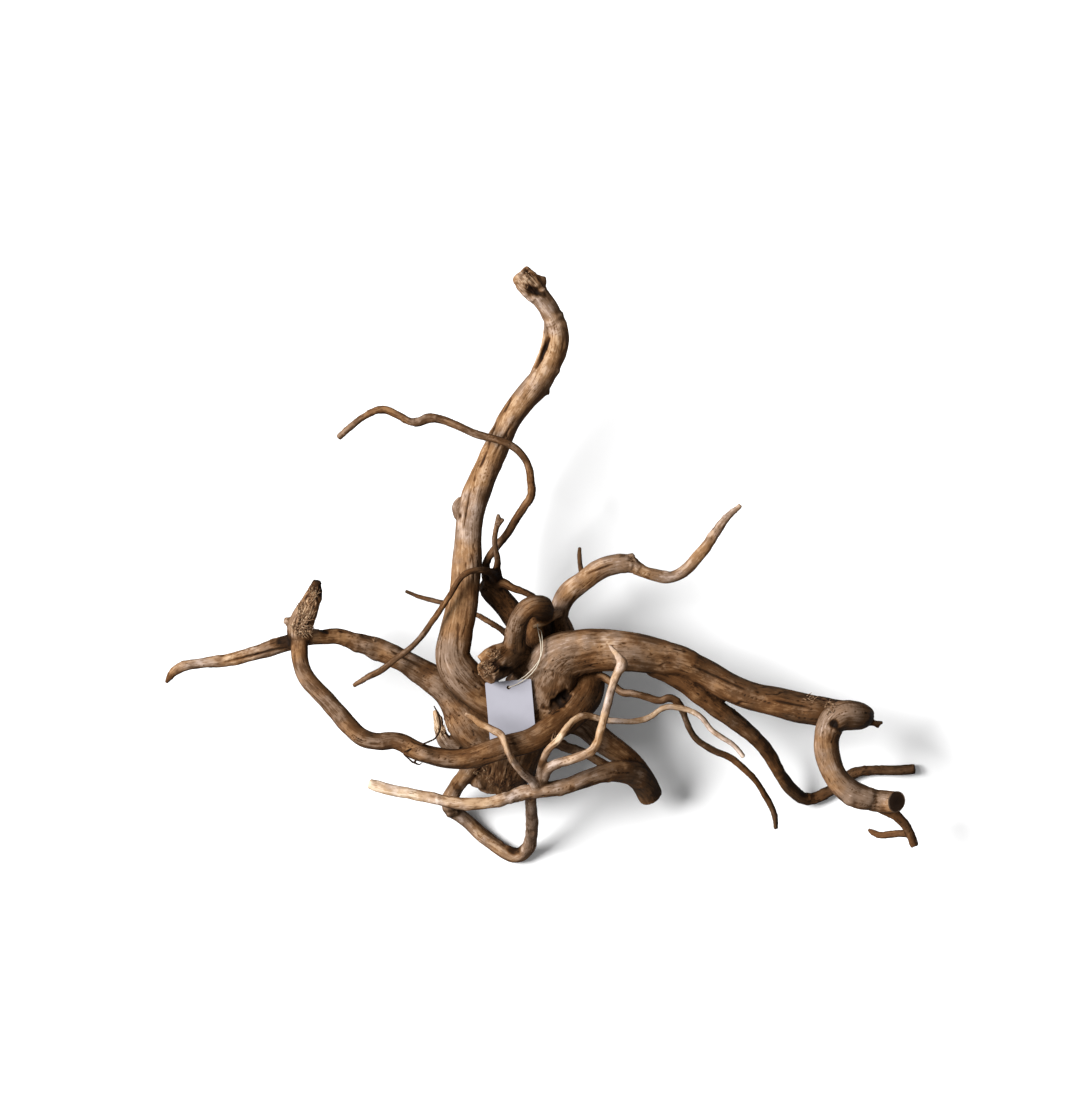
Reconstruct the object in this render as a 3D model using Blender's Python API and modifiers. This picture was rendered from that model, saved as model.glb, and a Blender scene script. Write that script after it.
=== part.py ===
"""A bog root: the weathered root crown of a shrub, lying on a surface, with a blank card tag tied to it.

Everything is in millimetres until MM turns it into metres. X is to the right, Y is up and Z is towards
someone who looks down on the root, and the surface that it lies on is Z = 0. Each root is a route, a list of
(x, y, z, radius) along its middle, from its thick end to its tip unless the comment says otherwise.
The routes are skinned together into one piece of wood, which is then sawn into named pieces at its forks.
"""

import math

import bmesh
import bpy
from mathutils import Matrix, Vector

MM = 0.001
NODE_TRIANGLES = 7000  # all of the wood, after it is simplified
SKIN_VOXEL = 1.0
FORK_ROUNDING = 4  # how many times the skin is smoothed
TUBE_SIDES, TUBE_STEPS = 6, 5  # how finely a route's tube is divided before it is skinned
KERF = 0.3  # the saw's width, which leaves the pieces apart
KERF_REACH, KERF_MARGIN = 1.28, 0.8  # how far a saw cut goes: this share of the wood's radius and this more
SAW_SIDES = 32
CRUMB = 8.0  # a loose bit of wood no longer than this isn't a piece
INSIDE_REACH = 1.3  # a point in a root is no further from its bark than this share of its radius
SHARP_EDGE = math.radians(50)
FLOOR, FLOOR_DEPTH, FLOOR_REACH = 0.0, 40.0, 420.0

TAG_WIDTH, TAG_HEIGHT, TAG_THICKNESS = 37.0, 51.0, 0.4
TAG_HOLE_RADIUS = 1.6
TAG_HOLE_BELOW_TOP = 5.4
TAG_CENTRE = (-24.2, -118.0, 95.6)
TAG_TURN = math.radians(5.0)
THREAD_RADIUS = 0.35
THREAD_POINTS = 36

ROUTES = {
    # the thick middle that the roots grow from, its torn lower end, and the sawn stem under it
    "trunk": [
        (15, -72, 80, 17), (6, -92, 75, 22.5), (-7, -114, 66, 26), (-21, -138, 54, 27),
        (-29, -157, 44, 26), (-32, -168, 36, 21.5), (-33, -176, 31, 19),
    ],
    "torn_end_lobe": [(-30, -156, 46, 18), (-47, -166, 46, 9), (-49, -178, 44, 7)],
    "sawn_stem": [(-6, -106, 62, 24), (-5, -104, 40, 23.5), (-5, -103, 18, 24.5), (-5, -102, -8, 26)],
    "sawn_stem_lobe": [(8, -92, 62, 16), (12, -92, 40, 15), (13, -92, 18, 16), (14, -91, -8, 17.5)],
    "sawn_stem_ridge": [(-22, -116, 56, 13), (-22, -113, 36, 11), (-23, -109, 16, 12), (-24, -106, -8, 14)],
    "pale_flake": [
        (-65, -146, 60, 9), (-76, -142, 60, 6), (-81, -132, 60, 4.6), (-83, -122, 60, 3.4),
        (-85, -116, 60, 1.8),
    ],
    "torn_stump": [
        (-8.8, -82.4, 70, 14.4), (-16.8, -76, 78, 12.4), (-21.6, -72, 86, 10.8),
        (-30.4, -78.4, 98, 10.8), (-38.4, -83.2, 106, 10.8), (-44, -87.2, 110, 10),
    ],
    "torn_stump_ridge": [
        (-26.4, -67.2, 92, 5.6), (-34.4, -68, 98, 4.8), (-42.4, -71.2, 101, 4.8), (-48.8, -76, 102, 3.6),
    ],
    # the tall arm at the top, with a knuckled head and a strand fused along its bend
    "vertical_arm": [
        (-23.2, -117.6, 68, 16.8), (-34.4, -110.4, 72, 15.2), (-48.8, -101.6, 77, 14.8),
        (-62.4, -88.8, 82, 14.6), (-70.4, -74.4, 84, 13.8), (-68.4, -56.8, 84, 12.8),
        (-64, -37.6, 84, 12), (-60.4, -18.4, 83, 11.8), (-58.8, 4, 82, 11.6), (-58, 24, 82, 11.2),
        (-54.8, 45.6, 82, 11), (-46.4, 69.6, 82, 10.8), (-36, 92.8, 82, 10.2), (-25.6, 114.8, 83, 9.8),
        (-14.4, 130.8, 84, 10.4), (-3.2, 144, 85, 11), (5.6, 158.4, 86, 10), (12, 172.8, 87, 9),
        (13.2, 187.2, 88, 9), (8, 200.8, 90, 8), (0, 212.8, 92, 8), (-7.2, 221.2, 93, 9.6),
        (-12, 227.6, 93, 10), (-17.6, 233.6, 93, 8),
    ],
    "arm_head_lobe": [(-5.6, 220, 91, 6), (-0.8, 226.4, 90, 5.2), (0, 231.2, 89, 3.6)],
    "arm_strand": [
        (-4.8, 154.4, 85, 3.6), (-0.4, 165.6, 87, 3.4), (3.2, 177.6, 88, 2.8), (4.4, 190.4, 89, 2.4),
        (6.4, 199.2, 90, 3.2),
    ],
    "arm_knob": [(-62.4, 52, 80, 4.4), (-66.4, 46.4, 80, 4.8), (-66.4, 37.6, 80, 3.2)],
    "arm_spur": [(0, 139.2, 84, 5.6), (7.2, 137.6, 84, 1.6)],
    # a root that rises from the crown, bends over like a finger and goes back down
    "curl_root": [
        (-23.2, -73.6, 86, 10.4), (-21.6, -61.6, 95, 8.8), (-20, -52, 103, 8), (-16.8, -41.6, 110, 8),
        (-9.6, -33.6, 113, 8), (-1.6, -32.8, 108, 8.4), (2, -35.2, 98, 8), (1.6, -37.6, 85, 8),
        (0, -44, 71, 8.4), (-2.4, -56.8, 58, 11.2),
    ],
    # the stout root behind the arm, with the thin roots that leave its head
    "back_root": [
        (-5.6, -84, 56, 12.8), (-10.4, -64, 54, 11.6), (-17.6, -47.2, 54, 10), (-27.2, -34.4, 56, 9.6),
        (-36, -24, 60, 9.6), (-43.2, -16.8, 63, 8.8), (-47.2, -15.2, 64, 6),
    ],
    "back_root_side": [
        (-37.6, -15.2, 66, 4.8), (-30.4, -14.4, 71, 4), (-22.4, -18.4, 73, 3.2), (-12.8, -22, 73, 2.8),
        (-5.6, -26.4, 71, 2.8), (0, -33.6, 68, 3.6), (3.2, -42.4, 66, 4.8),
    ],
    "back_root_fork": [
        (-35.2, -10.4, 67, 4.4), (-35.2, -2.4, 80, 3), (-34.8, 4, 90, 2.6), (-36, 11.2, 97, 2.4),
        (-37.2, 18.4, 100, 2.2), (-36.4, 26.4, 102, 2.2), (-34.8, 33.6, 104, 2.4), (-34, 40.8, 105, 1.6),
    ],
    "back_root_fork_spur": [(-34.4, 32.8, 104, 2.4), (-29.6, 36.8, 105, 1.4)],
    "whip_root": [
        (-41.6, -12, 63, 5.6), (-44, -4, 69, 3.6), (-43.2, 3.2, 77, 3.2), (-35.2, 15.2, 85, 3.2),
        (-27.2, 24.8, 92, 3.2), (-20, 36.8, 98, 3.4), (-13.2, 47.2, 102, 3.4), (-8, 55.2, 105, 3.4),
        (-8.4, 68, 107, 3.2), (-10.4, 80, 108, 3), (-16.8, 89.6, 109, 3), (-26.4, 96.8, 110, 3.2),
        (-37.6, 100.8, 110, 3.2), (-52, 104.8, 109, 3.2), (-66.4, 111.2, 108, 3.2),
        (-80, 116.4, 107, 3.4), (-89.6, 117.6, 106, 4), (-98.4, 114.4, 105, 3.8),
        (-104.8, 114.8, 104, 3.2), (-114.4, 120, 102, 3.2), (-127.2, 124.4, 100, 3.4),
        (-140.8, 119.2, 97, 2.8), (-153.6, 109.6, 94, 3), (-162.4, 101.6, 92, 2.6),
    ],
    "crossing_root": [
        (-36, -12, 67, 4.8), (-39.2, -6.4, 84, 3.6), (-44, -4.8, 95, 3.2), (-49.6, -4, 101, 2.8),
        (-56.8, -5.2, 103, 2.6), (-62.4, -8.4, 104, 2.6), (-67.2, -14.4, 104, 2.5),
        (-72.8, -24, 103, 2.5), (-79.6, -34.4, 101, 2.5), (-88, -46.4, 98, 2.5), (-96, -57.6, 96, 2.5),
        (-106.4, -68, 94, 2.6), (-117.6, -76, 92, 2.5), (-126.4, -83.2, 90, 2.7),
        (-138.4, -89.6, 88, 2.6), (-150.4, -96.8, 86, 1.8),
    ],
    "low_back_root": [
        (-16.8, -68, 52, 7.2), (-24.8, -57.6, 46, 3.6), (-31.2, -52, 40, 2.6), (-40, -46.4, 36, 2.4),
        (-49.6, -40.8, 33, 2.2), (-66.4, -33.6, 30, 2.1), (-83.2, -29.2, 27, 2.1),
        (-96.8, -25.6, 24, 1.9), (-108.8, -20.8, 22, 1.5),
    ],
    # the branch at the upper right, with a broken splinter at its foot and a dark stub under it
    "upper_right_branch": [
        (18.4, -64, 52, 12.8), (15.2, -50.4, 55, 9.6), (13.6, -41.6, 60, 8), (16.4, -31.2, 67, 8),
        (23.2, -20.8, 72, 8.4), (33.6, -12.8, 75, 8.2), (48, -2.8, 78, 8), (60, 0.8, 79, 8),
        (68.8, 1.2, 79, 7.4), (74.4, -0.8, 78, 6), (80.8, -4.8, 77, 5), (91.2, -8, 76, 4.9),
        (104, -9.6, 75, 4.8), (114.4, -4.8, 74, 4.8), (124.8, 6, 73, 4.8), (133.6, 16.8, 73, 4.6),
        (140, 26.4, 72, 4), (148, 37.2, 71, 3.3), (160, 48, 70, 2),
    ],
    "branch_knot_spike": [(69.6, 4, 80, 5.2), (74.4, 8.8, 81, 1.6)],
    "branch_splinter": [
        (14.4, -37.6, 70, 4.8), (8.8, -41.6, 76, 3.4), (1.6, -46.8, 82, 2.6), (-6.4, -49.6, 84, 1.8),
    ],
    "branch_stub": [(34.4, -12, 67, 3.2), (31.6, -1.6, 62, 2), (30.8, 6.4, 60, 1.9), (30.8, 14.4, 58, 1.6)],
    # the thickest arm, to the right
    "main_right_arm": [
        (4.8, -86.4, 72.5, 23.2), (16.8, -73.6, 81, 20), (31.2, -69.6, 85, 17.6), (45.6, -68, 87, 16.4),
        (60, -68, 88, 16), (80.8, -70.4, 88, 15.4), (96.8, -74, 86, 14), (112, -78.4, 84, 12.8),
        (129.6, -86.4, 80, 11.6), (149.6, -97.2, 78, 11.6), (168.8, -105.6, 76, 11.8),
        (189.6, -110, 75, 11.8), (207.2, -114.4, 73, 12), (220.8, -116.8, 72, 12),
        (232.8, -118.4, 67, 11.2),
    ],
    "trailing_root": [
        (91.2, -76.8, 84, 12), (104, -84.8, 82, 10), (116, -93.2, 80, 9.2), (127.2, -102.4, 77, 8.6),
        (139.2, -112.8, 73, 7.6), (152.8, -123.2, 66, 6.8), (169.6, -136.8, 56, 6.2),
        (183.2, -152.8, 44, 5.6), (192, -168.8, 32, 5.2), (202.4, -181.6, 19, 5.2),
        (213.6, -187.2, 8, 5), (228, -182.4, 5.6, 4.6), (240.8, -172.8, 5.4, 4.4), (252.8, -166, 5, 4.2),
        (264.8, -164.4, 4.6, 4), (279.2, -164.4, 4.4, 3.8), (291.2, -164, 4.6, 4),
        (299.2, -163.2, 4.6, 4),
    ],
    # the arm's end turns up and back over itself, and then down to a sawn end
    "hook": [
        (220.8, -116, 71, 11.2), (234.4, -117.6, 62, 10.8), (245.6, -119.2, 58, 10.6),
        (253.6, -120.8, 64, 10.4), (255.2, -121.6, 76, 10.4), (249.6, -120.8, 87, 11.6),
        (240.8, -120.8, 91, 12.2), (232, -127.2, 91, 11.2), (228.4, -140.8, 90, 10),
        (230, -154.4, 89, 9.8), (235.2, -168, 87, 9.6), (244.4, -178.8, 85, 10.4),
        (256.8, -185.2, 82, 10.4), (268.8, -188.4, 79, 9.2), (279.2, -189.2, 82, 9),
        (289.6, -189.6, 92, 8.8),
    ],
    "hook_spike": [(256.8, -122.4, 68, 5.6), (266.4, -126.4, 67, 2.4), (273.6, -126, 67, 1.4)],
    "hook_spike_side": [(266.4, -126.4, 67, 2), (270.4, -130.4, 66, 1.2)],
    "hook_twig": [
        (266.4, -190.4, 75, 4.8), (275.2, -195.2, 73, 4.8), (281.6, -198.4, 71, 4.4), (288, -204, 68, 4),
        (293.6, -211.2, 64, 3.6), (296.8, -218.4, 60, 3.6), (298.8, -224.8, 57, 3.4),
    ],
    "hook_twig_side": [
        (296, -215.2, 60, 3.2), (287.2, -214.8, 58, 3), (279.2, -215.6, 56, 3), (271.2, -216, 54, 2.8),
        (265.6, -214, 53, 2.4), (261.6, -211.6, 52, 1.6),
    ],
    # the long arm to the left, the torn knot at its end, and the two roots that leave the knot
    "left_arm": [
        (-35.2, -149.6, 52, 18.4), (-48, -136.8, 60, 19.2), (-57.6, -126.8, 63, 17.2),
        (-65.6, -113.6, 65, 14.4), (-74.4, -101.6, 66, 12.4), (-84.8, -92.4, 66, 11.2),
        (-96.8, -84.8, 66, 10.4), (-115.2, -74, 68, 9.4), (-133.6, -66, 71, 8.4),
        (-151.2, -60.4, 74, 7.2), (-160.8, -57.2, 76, 6.8), (-172.8, -57.2, 78, 6.6),
        (-186.4, -57.2, 80, 6.8), (-193.6, -57.6, 81, 7.2),
    ],
    "torn_knot": [
        (-192, -58.4, 82, 9.6), (-193.6, -52, 86, 10), (-190.4, -42.4, 90, 10.4),
        (-185.6, -32.8, 94, 8.8), (-182, -24, 97, 6.8), (-180, -16.8, 99, 4.8), (-179.2, -12, 100, 2.8),
    ],
    "torn_knot_tooth": [(-196, -50.4, 86, 7.2), (-201.6, -45.6, 86, 4), (-205.6, -44, 86, 2.4)],
    "left_tip": [
        (-193.6, -60, 80, 7.2), (-202.4, -62.4, 80, 6.6), (-212.8, -65.6, 79.5, 6.4),
        (-226.4, -70, 79, 5.8), (-240.8, -73.6, 78, 5.2), (-255.2, -76.8, 77, 5),
        (-270.4, -78.4, 76, 4.6), (-282.4, -80, 75, 4.4), (-290.4, -83.2, 73, 4.2), (-296, -88, 72, 3.2),
        (-300, -94.4, 70, 1.4),
    ],
    "loop_arm": [
        (-193.6, -55.2, 84, 8), (-193.2, -68, 88, 6.8), (-192, -79.2, 91, 6.4), (-188, -89.2, 94, 6.5),
        (-180, -99.2, 97, 6.8), (-170.4, -108.8, 100, 7.2), (-161.6, -119.2, 103, 7.4),
        (-152.8, -129.6, 106, 7.4), (-143.2, -138, 108, 7.4), (-130.4, -141.2, 109, 7.2),
        (-117.6, -140.8, 110, 7), (-110.4, -142.8, 110, 7.4), (-101.6, -148, 111, 7.8),
        (-90.4, -152, 112, 7.8), (-72, -155.2, 112, 8), (-56.8, -154, 112, 8.4), (-44, -150, 112, 8.8),
        (-28.8, -145.6, 112, 9.2), (-9.6, -140.8, 109, 9.6), (5.6, -132.8, 104, 10.4),
        (18.4, -124, 93, 11.6), (29.6, -112.8, 83, 12.4), (36, -101.6, 72, 13.2), (34.4, -88.8, 64, 14),
        (23.2, -80, 60, 14.4),
    ],
    # the limb across the front, which ends in the same stub as the dark root under it
    "front_limb": [
        (87.2, -184, 26, 10), (83.6, -176.8, 36, 10.2), (77.6, -170, 48, 10), (71.2, -166, 60, 9.6),
        (62.4, -164.8, 70, 8.8), (51.2, -166.4, 78, 8), (38.4, -170.4, 84, 7.2), (23.2, -176, 88, 6.8),
        (7.2, -179.6, 91, 6.4), (-3.2, -180.8, 92, 6.4), (-12.8, -182, 92, 6), (-22.4, -185.2, 92, 5.4),
        (-32.8, -188.4, 92, 5.1), (-44.8, -190.8, 92, 4.9), (-56.8, -191.2, 92, 4.9),
        (-71.2, -190, 91, 4.9), (-88.8, -186, 90, 4.6), (-104.8, -182.8, 89, 4.5),
        (-120.8, -180, 88, 4.5), (-131.2, -176.8, 87, 4.6), (-137.6, -174.8, 86, 4.4),
    ],
    "stub_root": [
        (12, -120.8, 58, 13.6), (24.8, -122.4, 59, 12), (36, -128, 60, 10.4), (44, -135.6, 58, 9.6),
        (52.8, -143.2, 56, 9.2), (62.8, -150.4, 53, 9), (71.2, -157.6, 48, 9.2), (78.4, -166.4, 42, 9.6),
        (84, -176, 34, 10), (87.2, -184, 26, 10),
    ],
    "stub_root_bridge": [
        (3.2, -138.4, 62, 6.4), (13.6, -142.4, 64, 4.8), (21.6, -146.4, 64, 4), (31.2, -148.8, 65, 3.6),
        (40.8, -153.6, 65, 3.6), (49.6, -159.2, 65, 4), (57.6, -164, 64, 5.6),
    ],
    "floor_loop": [
        (-8.8, -181.6, 88, 5.6), (-8, -189.6, 76, 4.8), (-7.6, -198.4, 60, 4.8), (-7.2, -208.8, 42, 5),
        (-8, -218.4, 24, 5.2), (-11.2, -227.2, 11, 5.6), (-18.8, -232.4, 6.3, 6), (-27.2, -230.4, 6, 6),
        (-36.8, -224, 6, 5.8), (-47.2, -216, 6.5, 5.8), (-56.8, -207.2, 8, 5.8), (-64.8, -200.8, 11, 6),
        (-72, -195.2, 15, 6.4), (-72.8, -188, 24, 6.6), (-68, -178.4, 34, 6.6), (-61.6, -169.6, 45, 6.6),
        (-54.4, -160, 54, 7.6), (-45.6, -149.6, 58, 11.2),
    ],
    "floor_loop_end": [(-68, -195.2, 16, 5.6), (-76, -198.4, 18, 4.4)],
    # thin twigs in front
    "pale_twig": [
        (0, -174.4, 92, 5.2), (4, -164.8, 103, 4.4), (11.2, -159.6, 111, 4), (21.6, -156.4, 115, 3.8),
        (32, -152.8, 117, 3.7), (40, -148.8, 118, 3.7), (44.8, -142.8, 119, 3.5), (48, -131.2, 120, 3.3),
        (51.2, -119.2, 121, 3.3), (54.4, -107.2, 122, 3.3), (57.6, -95.2, 123, 3.3),
        (61.2, -86.4, 124, 3.4), (64.4, -79.2, 124, 3.8), (62, -73.6, 124, 2.6), (58, -68.4, 123, 2.1),
        (54.4, -64, 122, 1.4),
    ],
    "pale_twig_spur": [(64, -80.8, 124, 3.2), (67.2, -77.6, 125, 1.6)],
    "tag_twig": [
        (-2.4, -179.2, 93, 4.8), (-8, -172, 102, 3.6), (-15.2, -165.6, 112, 3.3),
        (-21.6, -157.6, 120, 3.1), (-25.6, -150.4, 126, 3), (-28.8, -142.4, 128, 3.1),
        (-32, -136, 127, 3.1), (-39.2, -131.6, 126, 3), (-48, -127.2, 124, 2.9),
        (-54.4, -122.4, 122, 2.4), (-60.8, -118.8, 121, 1.8),
    ],
    "short_fine_root": [
        (-1.6, -176, 94, 4.8), (-0.8, -166.4, 102, 3.4), (1.6, -156.8, 110, 3), (5.6, -148, 117, 2.9),
        (12, -141.6, 120, 3), (16, -136.8, 120, 3), (20, -131.2, 119, 2.8), (26.4, -124.4, 116, 2.8),
        (33.6, -120.8, 112, 2.8), (40.8, -121.2, 107, 2.6), (48.8, -123.6, 104, 2.5),
        (60.8, -124.8, 100, 2.6), (76.8, -124.8, 94, 2.6), (87.2, -121.6, 90, 2.5),
        (95.2, -116, 88, 2.4), (101.6, -113.6, 87, 2.4), (111.2, -114.4, 85, 2.5),
        (121.6, -117.6, 83, 2.4), (129.6, -123.2, 81, 2.4), (135.6, -131.2, 79, 2.4),
        (145.6, -138.4, 77, 2.4), (154.4, -144.4, 75, 2.2), (162.4, -153.6, 73, 2),
    ],
    "long_fine_root": [
        (34.4, -100, 66, 7.2), (41.6, -92.8, 72, 3.6), (47.2, -88.8, 75, 3.2), (55.2, -93.2, 77, 3.2),
        (64.8, -101.6, 78, 3.1), (73.6, -102.8, 79, 3.1), (84.8, -105.6, 79, 3), (95.2, -108.4, 79, 3),
        (103.2, -106.4, 79, 3.3), (108.8, -109.2, 78, 3.2), (112.8, -115.2, 75, 2.8),
        (116, -124, 71, 2.6), (120, -133.2, 67, 2.6), (124.8, -139.6, 63, 2.8), (132, -144.8, 59, 2.9),
        (140, -149.2, 55, 2.8), (150.4, -153.6, 50, 2.8), (158.4, -159.6, 46, 2.8),
        (165.6, -166, 42, 2.8), (172, -172.8, 38, 2.6), (177.6, -181.6, 33, 2.6),
        (183.2, -191.2, 28, 2.6), (186.8, -200, 24, 2.6), (188, -211.2, 20, 2),
    ],
}

# Each saw cut is on a route, at a point along it that is counted in points: 3.5 is halfway between the fourth
# and the fifth.
SAW_CUTS = [
    ("vertical_arm", 4.7),
    ("curl_root", 1.9),
    ("curl_root", 6.4),
    ("back_root", 2.5),
    ("back_root_side", 4.2),
    ("whip_root", 2.5),
    ("crossing_root", 2.4),
    ("low_back_root", 1.9),
    ("upper_right_branch", 4.3),
    ("main_right_arm", 3.6),
    ("trailing_root", 4.5),
    ("main_right_arm", 12.0),
    ("hook_twig", 2.3),
    ("left_arm", 5.8),
    ("left_arm", 11.0),
    ("left_tip", 1.6),
    ("loop_arm", 1.5),
    ("loop_arm", 18.0),
    ("front_limb", 6.0),
    ("stub_root", 2.2),
    ("stub_root_bridge", 1.8),
    ("floor_loop", 1.3),
    ("floor_loop", 14.3),
    ("pale_twig", 2.3),
    ("tag_twig", 1.5),
    ("short_fine_root", 2.8),
    ("long_fine_root", 2.6),
]

# What each piece is called, and a point of a route that lies inside it.
PIECES = {
    "crown": ("trunk", 3),
    "vertical_arm": ("vertical_arm", 10),
    "curl_root": ("curl_root", 4),
    "back_root": ("back_root", 4),
    "whip_root": ("whip_root", 8),
    "crossing_root": ("crossing_root", 8),
    "low_back_root": ("low_back_root", 5),
    "upper_right_branch": ("upper_right_branch", 6),
    "main_right_arm": ("main_right_arm", 6),
    "trailing_root": ("trailing_root", 8),
    "hook": ("hook", 8),
    "hook_twig": ("hook_twig", 4),
    "left_arm": ("left_arm", 8),
    "torn_knot": ("torn_knot", 1),
    "left_tip": ("left_tip", 5),
    "loop_arm": ("loop_arm", 9),
    "front_limb": ("front_limb", 11),
    "stub_root": ("stub_root", 5),
    "floor_loop": ("floor_loop", 8),
    "pale_twig": ("pale_twig", 8),
    "tag_twig": ("tag_twig", 6),
    "short_fine_root": ("short_fine_root", 8),
    "long_fine_root": ("long_fine_root", 8),
}

# The sawn end of the hook looks right and up.
HOOK_END = Vector((285, -188.5, 86))
HOOK_END_NORMAL = Vector((0.66, -0.05, 0.75))
HOOK_END_REACH = 15.0

# The thread leaves the splinter, runs over the crown to the tag, goes through its hole and comes back.
THREAD_ROUTE = [
    (-2.8, -47, 87.2), (-2.4, -52.5, 92), (-0.6, -60, 97.5), (0, -68, 100.5), (-1, -76, 101.2),
    (-5, -84, 100.2), (-11, -90, 98.6), (-18, -94.8, 97.1), (-24, -97.2, 96.4), (-25.8, -98, 95.6),
    (-25, -97.2, 94.8), (-20, -92, 94.5), (-15.5, -87.8, 95.8), (-9, -82, 99.2), (-2.5, -75, 101.2),
    (2.8, -67, 100.6), (2.6, -59, 97.4), (0.6, -53, 90.5), (-1.2, -51.4, 86), (-1.7, -52, 82.5),
    (-2.2, -51.4, 79.6), (-2.4, -49.9, 79),
]

WOOD_TONES = {
    "brown": (0.36, 0.25, 0.16),
    "dark": (0.19, 0.13, 0.09),
    "pale": (0.52, 0.40, 0.29),
}
DARK_PIECES = ("back_root", "low_back_root", "stub_root", "trailing_root", "long_fine_root")
PALE_PIECES = ("pale_twig", "tag_twig", "short_fine_root", "front_limb", "upper_right_branch", "left_tip")
TAG_COLOUR = (0.80, 0.79, 0.84)
THREAD_COLOUR = (0.62, 0.56, 0.45)
WOOD_ROUGHNESS, CARD_ROUGHNESS, THREAD_ROUGHNESS = 0.8, 0.7, 0.5


def clear_scene():
    for obj in list(bpy.data.objects):
        bpy.data.objects.remove(obj)


def collection(name, shown=True):
    made = bpy.data.collections.new(name)
    made.hide_render = not shown
    bpy.context.scene.collection.children.link(made)
    return made


def material(name, colour, roughness):
    made = bpy.data.materials.new(name)
    made.use_nodes = True
    made.diffuse_color = (*colour, 1)
    shader = made.node_tree.nodes["Principled BSDF"]
    shader.inputs["Base Color"].default_value = (*colour, 1)
    shader.inputs["Roughness"].default_value = roughness
    shader.inputs["Metallic"].default_value = 0
    return made


def new_object(name, data, into):
    obj = bpy.data.objects.new(name, data)
    into.objects.link(obj)
    return obj


def evaluated_mesh(obj):
    """The object's mesh with its modifiers in it."""
    bpy.context.view_layer.update()
    graph = bpy.context.evaluated_depsgraph_get()
    return bpy.data.meshes.new_from_object(obj.evaluated_get(graph))


def bezier(curve, points):
    """Adds a smooth spline through the points, each with its own radius."""
    spline = curve.splines.new("BEZIER")
    spline.bezier_points.add(len(points) - 1)
    for knot, (x, y, z, radius) in zip(spline.bezier_points, points):
        knot.co = Vector((x, y, z)) * MM
        knot.radius = radius
        knot.handle_left_type = knot.handle_right_type = "AUTO"


def wood_tubes(into):
    """One mesh that holds a round tapering tube for every route."""
    curve = bpy.data.curves.new("root_tubes", "CURVE")
    curve.dimensions = "3D"
    curve.bevel_depth = MM
    curve.bevel_resolution = TUBE_SIDES
    curve.resolution_u = TUBE_STEPS
    curve.use_fill_caps = True
    for points in ROUTES.values():
        bezier(curve, points)
    guide = new_object("root_tubes_guide", curve, into)
    mesh = evaluated_mesh(guide)
    bpy.data.objects.remove(guide)
    welded = bmesh.new()
    welded.from_mesh(mesh)
    bmesh.ops.remove_doubles(welded, verts=welded.verts, dist=0.001 * MM)
    welded.to_mesh(mesh)
    welded.free()
    return new_object("root_tubes", mesh, into)


def skin(tubes):
    """Makes one closed surface of the tubes, rounds its forks and simplifies it."""
    remesh = tubes.modifiers.new("skin", "REMESH")
    remesh.mode = "VOXEL"
    remesh.voxel_size = SKIN_VOXEL * MM
    smooth = tubes.modifiers.new("round_forks", "SMOOTH")
    smooth.factor = 0.5
    smooth.iterations = FORK_ROUNDING
    tubes.data = evaluated_mesh(tubes)
    tubes.modifiers.clear()
    simplify = tubes.modifiers.new("simplify", "DECIMATE")
    simplify.ratio = NODE_TRIANGLES / sum(len(face.vertices) - 2 for face in tubes.data.polygons)
    tubes.data = evaluated_mesh(tubes)
    tubes.modifiers.clear()


def along(route, place):
    """The point, the direction and the radius at a place on a route that is counted in points."""
    points = ROUTES[route]
    first = min(int(place), len(points) - 2)
    share = place - first
    start, end = Vector(points[first]), Vector(points[first + 1])
    here = start.lerp(end, share)
    before = Vector(points[max(first - (share == 0), 0)]).to_3d()
    direction = (end.to_3d() - before).normalized()
    return here.to_3d(), direction, here[3]


def cylinder_cutter(name, centre, direction, radius, depth, into):
    """A round cutter with its middle at the centre and its axis along the direction."""
    mesh = bpy.data.meshes.new(name)
    shape = bmesh.new()
    bmesh.ops.create_cone(
        shape, cap_ends=True, segments=SAW_SIDES, radius1=radius * MM, radius2=radius * MM, depth=depth * MM
    )
    shape.to_mesh(mesh)
    shape.free()
    cutter = new_object(name, mesh, into)
    turn = direction.to_track_quat("Z", "Y").to_matrix().to_4x4()
    cutter.matrix_world = Matrix.Translation(centre * MM) @ turn
    cutter.hide_render = True
    cutter.display_type = "WIRE"
    return cutter


def make_cutters(into):
    """The saw cuts at the forks, the hook's sawn end and the floor, as one collection of cutters."""
    for number, (route, place) in enumerate(SAW_CUTS):
        centre, direction, radius = along(route, place)
        reach = radius * KERF_REACH + KERF_MARGIN
        cylinder_cutter(f"saw_{number}_{route}", centre, direction, reach, KERF, into)
    normal = HOOK_END_NORMAL.normalized()
    beyond = HOOK_END + normal * HOOK_END_REACH / 2
    cylinder_cutter("saw_hook_end", beyond, normal, HOOK_END_REACH, HOOK_END_REACH, into)
    below = Vector((0, 0, FLOOR - FLOOR_DEPTH / 2))
    cylinder_cutter("saw_floor", below, Vector((0, 0, 1)), FLOOR_REACH, FLOOR_DEPTH, into)


def drop_crumbs(loose):
    """Removes the splinters that a saw cut leaves beside a fork."""
    pieces = []
    for piece in loose:
        if max(piece.dimensions) > CRUMB * MM:
            pieces.append(piece)
        else:
            bpy.data.objects.remove(piece)
    return pieces


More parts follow.
